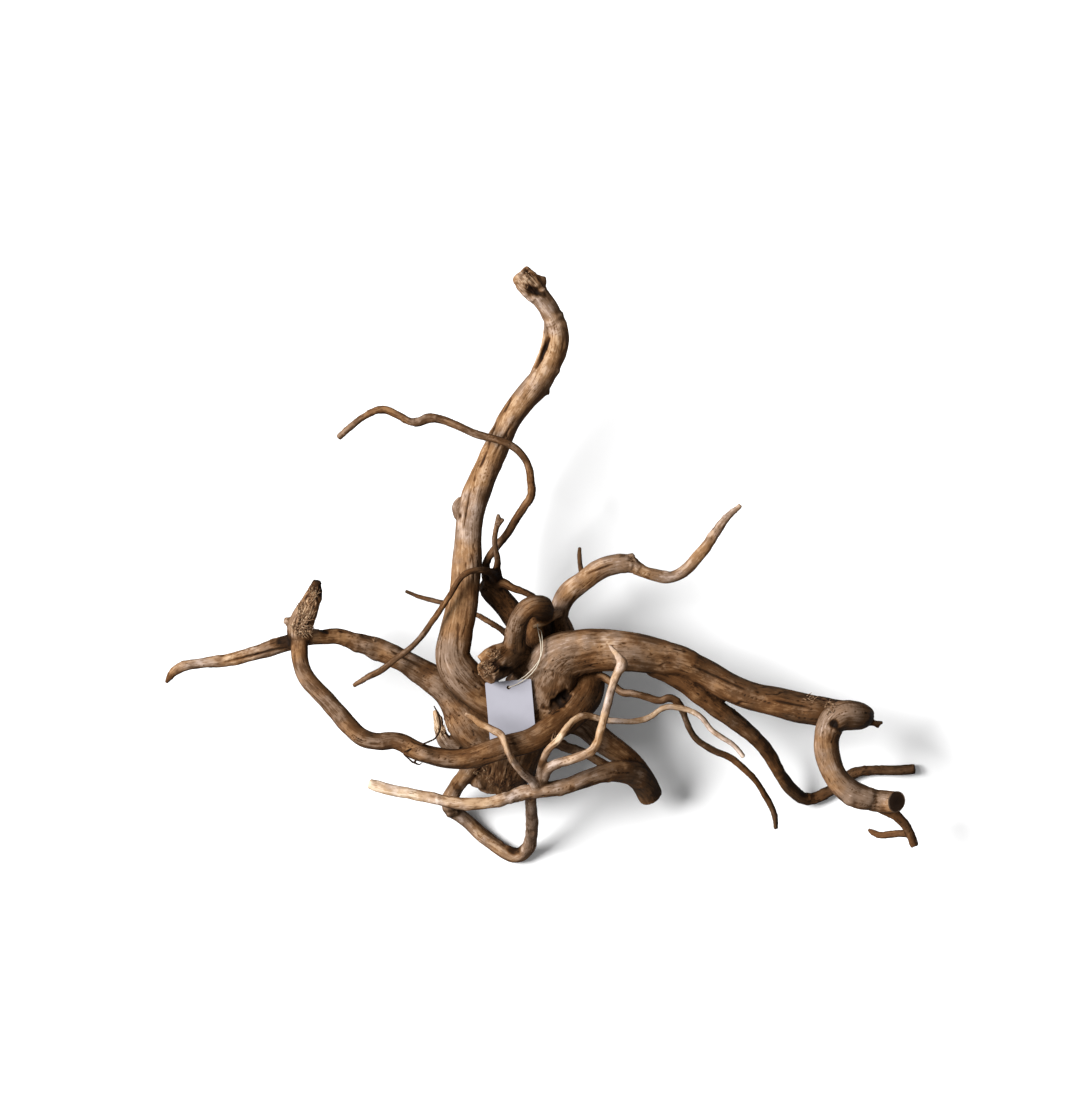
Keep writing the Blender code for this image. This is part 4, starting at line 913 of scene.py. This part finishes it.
def saw_pieces(wood):
    """Saws the wood at its forks, and returns each piece under the name of its node."""
    shape = bmesh.new()
    shape.from_mesh(wood.data)
    shape.faces.ensure_lookup_table()
    bmesh.ops.split_edges(shape, edges=kerf_edges(shape))
    shape.to_mesh(wood.data)
    shape.free()
    select_only(wood)
    bpy.ops.object.mode_set(mode="EDIT")
    bpy.ops.mesh.select_all(action="SELECT")
    bpy.ops.mesh.separate(type="LOOSE")
    bpy.ops.object.mode_set(mode="OBJECT")
    loose = list(bpy.context.selected_objects)
    named = {}
    for name, (route, index) in PIECES.items():
        *point, radius = ROUTES[route][index]
        point = (Vector(point) + shift()) * MM
        free = [piece for piece in loose if piece not in named.values()]
        inside = [piece for piece in free if holds(piece, point, radius * MM)]
        if len(inside) != 1:
            raise RuntimeError(f"{len(inside)} pieces hold the middle of {name}")
        named[name] = inside[0]
    for piece in set(loose) - set(named.values()):
        if len(piece.data.vertices) > MOST_CRUMB_POINTS:
            raise RuntimeError(f"a piece of {len(piece.data.vertices)} points has no name")
        bpy.data.objects.remove(piece)
    for name, piece in named.items():
        close_ends(piece)
        piece.name = f"{name}_wood"
    return named


def node(tree, kind, place, **values):
    """A node at a place in its tree, with these values."""
    made = tree.nodes.new(kind)
    made.location = place
    for key, value in values.items():
        setattr(made, key, value)
    return made


def join(tree, source, target):
    """Links a source, as (node, output), to a target, as (node, input)."""
    tree.links.new(source[0].outputs[source[1]], target[0].inputs[target[1]])


def maths(tree, operation, place, first, second=None):
    """A Math node whose inputs are numbers or (node, output) pairs. Returns (node, output)."""
    made = node(tree, "ShaderNodeMath", place, operation=operation)
    for number, value in enumerate((first, second)):
        if isinstance(value, tuple):
            tree.links.new(value[0].outputs[value[1]], made.inputs[number])
        elif value is not None:
            made.inputs[number].default_value = value
    return made, 0


def ranged(tree, place, source, low, high):
    """Turns low to high into 0 to 1, smoothly. Returns (node, output)."""
    made = node(tree, "ShaderNodeMapRange", place, interpolation_type="SMOOTHSTEP")
    join(tree, source, (made, "Value"))
    made.inputs["From Min"].default_value = low
    made.inputs["From Max"].default_value = high
    return made, "Result"


def grain_noise(tree, place, source, scale, detail, roughness=0.6):
    """Noise whose size along each axis of the grain is 1 over scale. Returns (node, output)."""
    stretch = node(tree, "ShaderNodeVectorMath", (place[0] - 200, place[1]), operation="MULTIPLY")
    join(tree, source, (stretch, 0))
    stretch.inputs[1].default_value = scale
    made = node(tree, "ShaderNodeTexNoise", place)
    made.inputs["Scale"].default_value = 1
    made.inputs["Detail"].default_value = detail
    made.inputs["Roughness"].default_value = roughness
    join(tree, (stretch, 0), (made, "Vector"))
    return made, "Fac"


def weathered_grain_group():
    """The patterns of weathered wood: streaks, fibres, blotches, warm patches, specks and cracks."""
    if "weathered_grain" in bpy.data.node_groups:
        return bpy.data.node_groups["weathered_grain"]
    group = bpy.data.node_groups.new("weathered_grain", "ShaderNodeTree")
    for name in ("Grain", "Place"):
        group.interface.new_socket(name=name, in_out="INPUT", socket_type="NodeSocketVector")
    for name in ("Streaks", "Fibres", "Blotches", "Warmth", "Specks", "Cracks", "Height"):
        group.interface.new_socket(name=name, in_out="OUTPUT", socket_type="NodeSocketFloat")
    into = node(group, "NodeGroupInput", (-900, 0))
    out = node(group, "NodeGroupOutput", (900, 0))
    grain, place = (into, "Grain"), (into, "Place")
    streaks = grain_noise(group, (-300, 400), grain, (0.36, 0.36, 0.022), 4)
    fibres = grain_noise(group, (-300, 200), grain, (0.95, 0.95, 0.075), 4)
    blotches = grain_noise(group, (-300, 0), grain, (0.14, 0.14, 0.090), 6, 0.68)
    warmth = grain_noise(group, (-300, -200), place, (26, 26, 26), 4)
    specks = grain_noise(group, (-300, -400), grain, (0.62, 0.62, 0.17), 4, 0.7)
    checks = grain_noise(group, (-300, -600), grain, (0.42, 0.42, 0.028), 2)
    ridge = maths(group, "ABSOLUTE", (100, -600), maths(group, "SUBTRACT", (-100, -600), checks, 0.5))
    crack = ranged(group, (300, -600), ridge, 0.012, 0.0)
    broken = ranged(group, (100, -800), grain_noise(group, (-300, -800), place, (60, 60, 60), 2), 0.5, 0.6)
    crack = maths(group, "MULTIPLY", (500, -600), crack, broken)
    speck = ranged(group, (100, -400), specks, 0.58, 0.70)
    height = maths(group, "ADD", (300, 100), maths(group, "MULTIPLY", (100, 200), streaks, 0.8), fibres)
    height = maths(group, "SUBTRACT", (500, 100), height, maths(group, "MULTIPLY", (300, -100), crack, 1.5))
    height = maths(group, "SUBTRACT", (700, 100), height, maths(group, "MULTIPLY", (500, -100), speck, 0.3))
    join(group, ranged(group, (500, 400), streaks, 0.30, 0.70), (out, "Streaks"))
    join(group, ranged(group, (500, 300), fibres, 0.30, 0.70), (out, "Fibres"))
    join(group, ranged(group, (300, 0), blotches, 0.34, 0.66), (out, "Blotches"))
    join(group, ranged(group, (300, -200), warmth, 0.38, 0.62), (out, "Warmth"))
    join(group, speck, (out, "Specks"))
    join(group, crack, (out, "Cracks"))
    join(group, height, (out, "Height"))
    return group


def ramp(tree, place, source, stops):
    """A colour ramp through (position, colour) stops. Returns (node, output)."""
    made = node(tree, "ShaderNodeValToRGB", place)
    made.color_ramp.interpolation = "EASE"
    points = made.color_ramp.elements
    while len(points) < len(stops):
        points.new(0.5)
    for point, (position, colour) in zip(points, stops):
        point.position = position
        point.color = (*colour, 1)
    join(tree, source, (made, "Fac"))
    return made, "Color"


def mixed(tree, place, share, first, second):
    """Mixes two colours by a share, each of them a (node, output). Returns (node, output)."""
    made = node(tree, "ShaderNodeMix", place, data_type="RGBA")
    for socket, source in ((0, share), (6, first), (7, second)):
        join(tree, source, (made, socket))
    return made, 2


def bare_material(name):
    """A new material, its node tree and its shader."""
    made = bpy.data.materials.new(name)
    made.use_nodes = True
    return made, made.node_tree, made.node_tree.nodes["Principled BSDF"]


def bumpy(tree, shader, height, strength, distance):
    """Makes a surface look as if it rose and fell with a height."""
    bump = node(tree, "ShaderNodeBump", (100, -400))
    bump.inputs["Strength"].default_value = strength
    bump.inputs["Distance"].default_value = distance
    join(tree, height, (bump, "Height"))
    join(tree, (bump, "Normal"), (shader, "Normal"))


# The wood's colours from dark to pale, as (position, colour) stops.
GREY_WOOD = [
    (0.0, (0.007, 0.003, 0.001)), (0.22, (0.024, 0.011, 0.004)), (0.45, (0.078, 0.039, 0.017)),
    (0.66, (0.195, 0.127, 0.085)), (0.85, (0.400, 0.302, 0.246)), (1.0, (0.60, 0.50, 0.45)),
]
WARM_WOOD = [
    (0.0, (0.008, 0.003, 0.001)), (0.22, (0.029, 0.011, 0.003)), (0.45, (0.096, 0.040, 0.013)),
    (0.66, (0.230, 0.120, 0.052)), (0.85, (0.430, 0.280, 0.165)), (1.0, (0.62, 0.48, 0.35)),
]
TORN_WOOD = [
    (0.0, (0.010, 0.004, 0.002)), (0.35, (0.062, 0.026, 0.011)), (0.65, (0.230, 0.130, 0.066)),
    (1.0, (0.56, 0.41, 0.27)),
]
SAWN_WOOD = [
    (0.0, (0.020, 0.009, 0.004)), (0.78, (0.032, 0.015, 0.007)), (0.91, (0.170, 0.105, 0.065)),
    (1.0, (0.38, 0.29, 0.22)),
]
# How much each pattern pales the wood, and the value at which it changes nothing.
PATTERN_SHARES = [
    ("Streaks", 0.07, 0.5), ("Fibres", 0.11, 0.5), ("Blotches", 0.17, 0.5), ("Specks", -0.16, 0.10),
    # The cracks are painted darker as painted shade.
    ("Cracks", -0.30, 0.0),
]
TORN_FIBRE_SHARE, TORN_FIBRE_MIDDLE = 0.55, 0.56  # the same for the fibres in torn wood
RING_WAVER = -0.12  # how far the blotches shift the rings of sawn wood
WOOD_ROUGHNESS = (0.62, 0.86)
WOOD_SHINE = 0.10


def root_wood_material():
    """Dry wood that is grey-brown and warm in patches, streaked along its grain, with painted shade in its
    cracks.
    """
    made, tree, shader = bare_material("root_wood")
    effect = node(tree, "ShaderNodeGroup", (-1200, 0), node_tree=weathered_grain_group())
    place = node(tree, "ShaderNodeTexCoord", (-1500, -100))
    grain, tone, torn, sawn, ring = (
        node(tree, "ShaderNodeAttribute", (-1500, 200 * row), attribute_name=name)
        for row, name in enumerate(("grain", "tone", "torn", "sawn", "ring"), 1)
    )
    join(tree, (grain, "Vector"), (effect, "Grain"))
    join(tree, (place, "Object"), (effect, "Place"))
    level = (tone, "Fac")
    for row, (output, share, middle) in enumerate(PATTERN_SHARES):
        centred = maths(tree, "SUBTRACT", (-950, 600 - 150 * row), (effect, output), middle)
        scaled = maths(tree, "MULTIPLY", (-800, 600 - 150 * row), centred, share)
        level = maths(tree, "ADD", (-650, 600 - 150 * row), level, scaled)
    grey = ramp(tree, (-400, 400), level, GREY_WOOD)
    warm = ramp(tree, (-400, 150), level, WARM_WOOD)
    strands = maths(tree, "SUBTRACT", (-950, -100), (effect, "Fibres"), TORN_FIBRE_MIDDLE)
    strands = maths(tree, "MULTIPLY", (-800, -100), strands, TORN_FIBRE_SHARE)
    ragged = ramp(tree, (-400, -100), maths(tree, "ADD", (-650, -100), level, strands), TORN_WOOD)
    colour = mixed(tree, (-100, 300), (effect, "Warmth"), grey, warm)
    colour = mixed(tree, (100, 200), (torn, "Fac"), colour, ragged)
    ring_noise = maths(tree, "MULTIPLY", (-900, -300), (effect, "Blotches"), RING_WAVER)
    rings = maths(tree, "ADD", (-650, -300), (ring, "Fac"), ring_noise)
    colour = mixed(tree, (300, 200), (sawn, "Fac"), colour, ramp(tree, (-400, -350), rings, SAWN_WOOD))
    join(tree, colour, (shader, "Base Color"))
    roughness = node(tree, "ShaderNodeMapRange", (100, -100))
    join(tree, (effect, "Blotches"), (roughness, "Value"))
    roughness.inputs["To Min"].default_value = WOOD_ROUGHNESS[0]
    roughness.inputs["To Max"].default_value = WOOD_ROUGHNESS[1]
    join(tree, (roughness, "Result"), (shader, "Roughness"))
    shader.inputs["Specular IOR Level"].default_value = WOOD_SHINE
    bumpy(tree, shader, (effect, "Height"), strength=0.55, distance=0.0010)
    return made


def card_material():
    """Pale grey card, faintly mottled."""
    made, tree, shader = bare_material("tag_card")
    place = node(tree, "ShaderNodeTexCoord", (-900, 0))
    pulp = grain_noise(tree, (-500, 0), (place, "Object"), (900, 900, 900), 4)
    cloud = grain_noise(tree, (-500, -300), (place, "Object"), (60, 60, 60), 2)
    level = maths(tree, "ADD", (-300, 0), maths(tree, "MULTIPLY", (-400, 0), pulp, 0.25), cloud)
    card = tuple(settings().card_colour)
    colour = ramp(tree, (-100, 100), level, [(0.3, tuple(0.93 * part for part in card)), (0.85, card)])
    join(tree, colour, (shader, "Base Color"))
    shader.inputs["Roughness"].default_value = 0.6
    bumpy(tree, shader, pulp, strength=0.15, distance=0.0002)
    return made


def thread_material():
    """Pale thread, darker in its twist."""
    made, tree, shader = bare_material("tag_thread")
    place = node(tree, "ShaderNodeTexCoord", (-700, 0))
    twist = grain_noise(tree, (-400, 0), (place, "Object"), (2500, 2500, 2500), 2)
    thread = tuple(settings().thread_colour)
    colour = ramp(tree, (-100, 100), twist, [(0.3, tuple(0.7 * part for part in thread)), (0.7, thread)])
    join(tree, colour, (shader, "Base Color"))
    shader.inputs["Roughness"].default_value = 0.35
    return made


class RootSettings(bpy.types.PropertyGroup):
    """The sizes and the colours of the root's finish, its tag and its light."""

    voxel: FloatProperty(
        name="Skin size", description="Size of the wood's faces, in mm", default=1.02, min=0.5
    )
    relief: FloatProperty(
        name="Relief", description="Depth of the furrows and cracks, in mm", default=0.62, min=0
    )
    splinters: IntProperty(
        name="Splinters", description="The usual number of splinters at a torn place", default=14, min=0
    )
    card_colour: FloatVectorProperty(
        name="Card", description="Colour of the tag", subtype="COLOR", default=(0.322, 0.315, 0.356)
    )
    thread_colour: FloatVectorProperty(
        name="Thread", description="Colour of the thread", subtype="COLOR", default=(0.60, 0.52, 0.40)
    )
    sun: FloatProperty(
        name="Side light", description="Strength of the light from the left", default=6.4, min=0
    )
    sky: FloatProperty(
        name="Room light", description="Strength of the light all round", default=0.36, min=0
    )


class BOGROOT_OT_camera(bpy.types.Operator):
    """Adds the camera, which looks straight down"""

    bl_idname = "bog_root.camera"
    bl_label = "Camera"

    def execute(self, context):
        deselect_all()
        middle = (Vector(PHOTO_MIDDLE) + shift()) * MM
        bpy.ops.object.camera_add(location=(middle.x, middle.y, CAMERA_HEIGHT), rotation=(0, 0, 0))
        camera = context.object
        camera.name = "camera"
        camera.data.type = "ORTHO"
        camera.data.ortho_scale = PHOTO_SPAN * MM
        camera.data.dof.use_dof = False
        context.scene.camera = camera
        return {"FINISHED"}


class BOGROOT_OT_tag(bpy.types.Operator):
    """Adds the tag and the thread that it hangs on"""

    bl_idname = "bog_root.tag"
    bl_label = "Tag and thread"

    def execute(self, context):
        make_thread(make_card())
        return {"FINISHED"}


def make_card():
    """A flat card with rounded corners and a punched hole, where its node lies."""
    deselect_all()
    low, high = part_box("tag_card")
    bpy.ops.mesh.primitive_plane_add(size=1, location=(0, 0, 0))
    card = bpy.context.object
    card.name = "card_tag"
    bpy.ops.object.mode_set(mode="EDIT")
    bpy.ops.transform.resize(value=(TAG_WIDTH * MM, TAG_HEIGHT * MM, 1))
    bpy.ops.mesh.bevel(offset=TAG_CORNER * MM, segments=5, affect="VERTICES")
    bpy.ops.object.mode_set(mode="OBJECT")
    bpy.ops.mesh.primitive_cylinder_add(
        vertices=24, radius=TAG_HOLE_RADIUS * MM, depth=0.01,
        location=(0, (TAG_HEIGHT / 2 - TAG_HOLE_BELOW_TOP) * MM, 0),
    )
    punch = bpy.context.object
    apply_modifier(card, "SOLIDIFY", thickness=TAG_THICKNESS * MM, offset=0)
    apply_modifier(card, "BOOLEAN", operation="DIFFERENCE", object=punch, solver="EXACT")
    bpy.data.objects.remove(punch)
    turn = Matrix.Rotation(TAG_TURN, 4, "Z")
    middle = (Vector(low) + Vector(high)) / 2
    card.data.transform(Matrix.Translation(middle) @ turn)
    card.data.materials.append(card_material())
    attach(card, "root")
    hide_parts("tag_card")
    return card


def make_thread(card):
    """The thread, as one thin curve from the splinter round through the tag's hole and back."""
    points = [(point + shift()) * MM for point in smooth_points(THREAD_ROUTE, THREAD_POINTS)]
    curve = rod_curve("thread", THREAD_RADIUS * MM, roundness=2)
    spline = curve.splines.new("POLY")
    spline.points.add(len(points) - 1)
    for knot, point in zip(spline.points, points):
        knot.co = (*point, 1)
    thread = in_scene("thread", curve)
    curve.materials.append(thread_material())
    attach(thread, "root")
    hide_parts("tag_thread")


def frayed_wood(piece, splinters):
    """Adds splinters to a piece of wood, each a thin tapering sliver that starts in the wood."""
    points, _, _ = mesh_arrays(piece.data)
    move = np.array([*shift()])
    curve = rod_curve("splinters", MM, roundness=0)
    for number, (x, y, heading, spread, share, length, reach) in enumerate(splinters):
        rng = np.random.default_rng(SPLINTER_SEED + number)
        for _ in range(int(share * settings().splinters)):
            away, turn = reach * math.sqrt(rng.random()), rng.uniform(0, 2 * math.pi)
            start = top_spot(points, x + move[0] + away * math.cos(turn), y + move[1] + away * math.sin(turn))
            start[2] -= SPLINTER_SINK
            angle = math.radians(heading + spread * rng.normal())
            run = length * rng.uniform(0.5, 1.2)
            rise, bend = rng.uniform(0.0, SPLINTER_RISE), SPLINTER_BEND * rng.normal()
            spline = curve.splines.new("POLY")
            spline.points.add(3)
            for step, knot in enumerate(spline.points):
                at = step / 3
                swing = angle + bend * at
                flat = np.array([math.cos(swing), math.sin(swing), 0]) * run * at
                here = start + flat + np.array([0, 0, run * rise * at + SPLINTER_LIFT * at])
                knot.co = (*(here * MM), 1)
                knottiness = 0.7 + 0.6 * ((number + step) % 3) / 2
                knot.radius = SPLINTER_RADIUS * (1 - SPLINTER_TAPER * at**2) * knottiness
    add_slivers(piece, curve, tone=0.62, torn=0.8)


def add_slivers(piece, curve, tone, torn):
    """Makes a mesh of thin curves, gives it the wood's own values and joins it to a piece of wood."""
    slivers = in_scene("slivers", curve)
    select_only(slivers)
    bpy.ops.object.convert(target="MESH")
    bpy.ops.object.mode_set(mode="EDIT")
    bpy.ops.mesh.select_all(action="SELECT")
    bpy.ops.mesh.remove_doubles(threshold=0.000001)
    bpy.ops.mesh.normals_make_consistent(inside=False)
    bpy.ops.object.mode_set(mode="OBJECT")
    slivers = bpy.context.object
    points, _, _ = mesh_arrays(slivers.data)
    speckle = 0.12 * noise(points / 3, SPECKLE_SEED)
    store(slivers.data, "grain", "FLOAT_VECTOR", points)
    store(slivers.data, "tone", "FLOAT", np.clip(tone + speckle, 0, 1))
    store(slivers.data, "torn", "FLOAT", np.full(len(points), torn))
    store(slivers.data, "sawn", "FLOAT", np.zeros(len(points)))
    store(slivers.data, "ring", "FLOAT", np.zeros(len(points)))
    slivers.data.materials.clear()
    slivers.data.materials.append(piece.data.materials[0])
    select_only(piece, slivers)
    bpy.ops.object.join()


def fine_rootlets(piece, routes):
    """Adds dark rootlets, each finer than the wood's skin can hold."""
    move = shift()
    curve = rod_curve("rootlets", MM, roundness=1)
    for route in routes:
        spline = curve.splines.new("POLY")
        points = smooth_points([point[:3] for point in route], 4 * len(route))
        spline.points.add(len(points) - 1)
        for number, (knot, point) in enumerate(zip(spline.points, points)):
            knot.co = (*((point + move) * MM), 1)
            at = number / (len(points) - 1) * (len(route) - 1)
            first = min(int(at), len(route) - 2)
            knot.radius = route[first][3] + (route[first + 1][3] - route[first][3]) * (at - first)
    add_slivers(piece, curve, tone=0.16, torn=0.0)


class BOGROOT_OT_roots(bpy.types.Operator):
    """Builds the wood round all the roots and saws it into its pieces"""

    bl_idname = "bog_root.roots"
    bl_label = "Roots"

    def execute(self, context):
        wood = saw_pieces(skin_roots())
        material = root_wood_material()
        for name, piece in wood.items():
            piece.data.materials.clear()
            piece.data.materials.append(material)
            piece.data.shade_smooth()
            if name in SPLINTERS:
                frayed_wood(piece, SPLINTERS[name])
            if name in ROOTLETS:
                fine_rootlets(piece, ROOTLETS[name])
            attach(piece, "root")
            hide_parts(name)
        return {"FINISHED"}


def floor_material():
    """White where the camera sees it, and darker for the light that it throws back at the wood."""
    made, tree, shader = bare_material("floor_white")
    shader.inputs["Base Color"].default_value = (0.9, 0.9, 0.9, 1)
    shader.inputs["Roughness"].default_value = 1
    shader.inputs["Specular IOR Level"].default_value = 0
    dim = node(tree, "ShaderNodeBsdfDiffuse", (0, -300))
    dim.inputs["Color"].default_value = (*[FLOOR_BOUNCE] * 3, 1)
    seen = node(tree, "ShaderNodeLightPath", (0, 300))
    mix = node(tree, "ShaderNodeMixShader", (300, 0))
    join(tree, (seen, "Is Camera Ray"), (mix, 0))
    join(tree, (dim, "BSDF"), (mix, 1))
    join(tree, (shader, "BSDF"), (mix, 2))
    join(tree, (mix, "Shader"), (tree.nodes["Material Output"], "Surface"))
    return made


def white_room(strength):
    """A white world of this strength, which the camera sees as plain white like the floor."""
    world = bpy.data.worlds.new("room")
    world.use_nodes = True
    tree = world.node_tree
    background = tree.nodes["Background"]
    background.inputs["Color"].default_value = (1, 1, 1, 1)
    seen = node(tree, "ShaderNodeLightPath", (-600, 0))
    level = node(tree, "ShaderNodeMapRange", (-300, 0))
    join(tree, (seen, "Is Camera Ray"), (level, "Value"))
    level.inputs["To Min"].default_value = strength
    level.inputs["To Max"].default_value = SEEN_SKY
    join(tree, (level, "Result"), (background, "Strength"))
    return world


class BOGROOT_OT_stage(bpy.types.Operator):
    """Adds the white floor and the soft light from the left"""

    bl_idname = "bog_root.stage"
    bl_label = "Floor and light"

    def execute(self, context):
        deselect_all()
        bpy.ops.mesh.primitive_plane_add(size=FLOOR_SIZE, location=(0, 0, 0))
        floor = context.object
        floor.name = "floor"
        floor.data.materials.append(floor_material())
        bpy.ops.object.light_add(type="SUN", location=SUN_FROM)
        sun = context.object
        sun.data.energy = settings().sun
        sun.data.angle = SUN_ANGLE
        sun.rotation_euler = Vector(SUN_FROM).to_track_quat("Z", "Y").to_euler()
        context.scene.world = white_room(settings().sky)
        context.scene.view_settings.view_transform = "Standard"
        context.scene.view_settings.look = "None"
        return {"FINISHED"}


class BOGROOT_PT_panel(bpy.types.Panel):
    """Lists the root's settings and its steps"""

    bl_label = "Bog Root"
    bl_space_type = "VIEW_3D"
    bl_region_type = "UI"
    bl_category = "Bog Root"

    def draw(self, context):
        layout = self.layout
        for name in ("voxel", "relief", "splinters", "card_colour", "thread_colour", "sun", "sky"):
            layout.prop(context.scene.bog_root, name)
        for operator in STEPS:
            layout.operator(operator.bl_idname)


STEPS = (BOGROOT_OT_camera, BOGROOT_OT_tag, BOGROOT_OT_roots, BOGROOT_OT_stage)
CLASSES = (RootSettings, *STEPS, BOGROOT_PT_panel)


def register():
    for made in CLASSES:
        bpy.utils.register_class(made)
    bpy.types.Scene.bog_root = PointerProperty(type=RootSettings)


def unregister():
    del bpy.types.Scene.bog_root
    for made in reversed(CLASSES):
        bpy.utils.unregister_class(made)


def main():
    register()
    bpy.ops.bog_root.camera()
    bpy.ops.bog_root.tag()
    bpy.ops.bog_root.roots()
    bpy.ops.bog_root.stage()


if __name__ == "__main__":
    main()
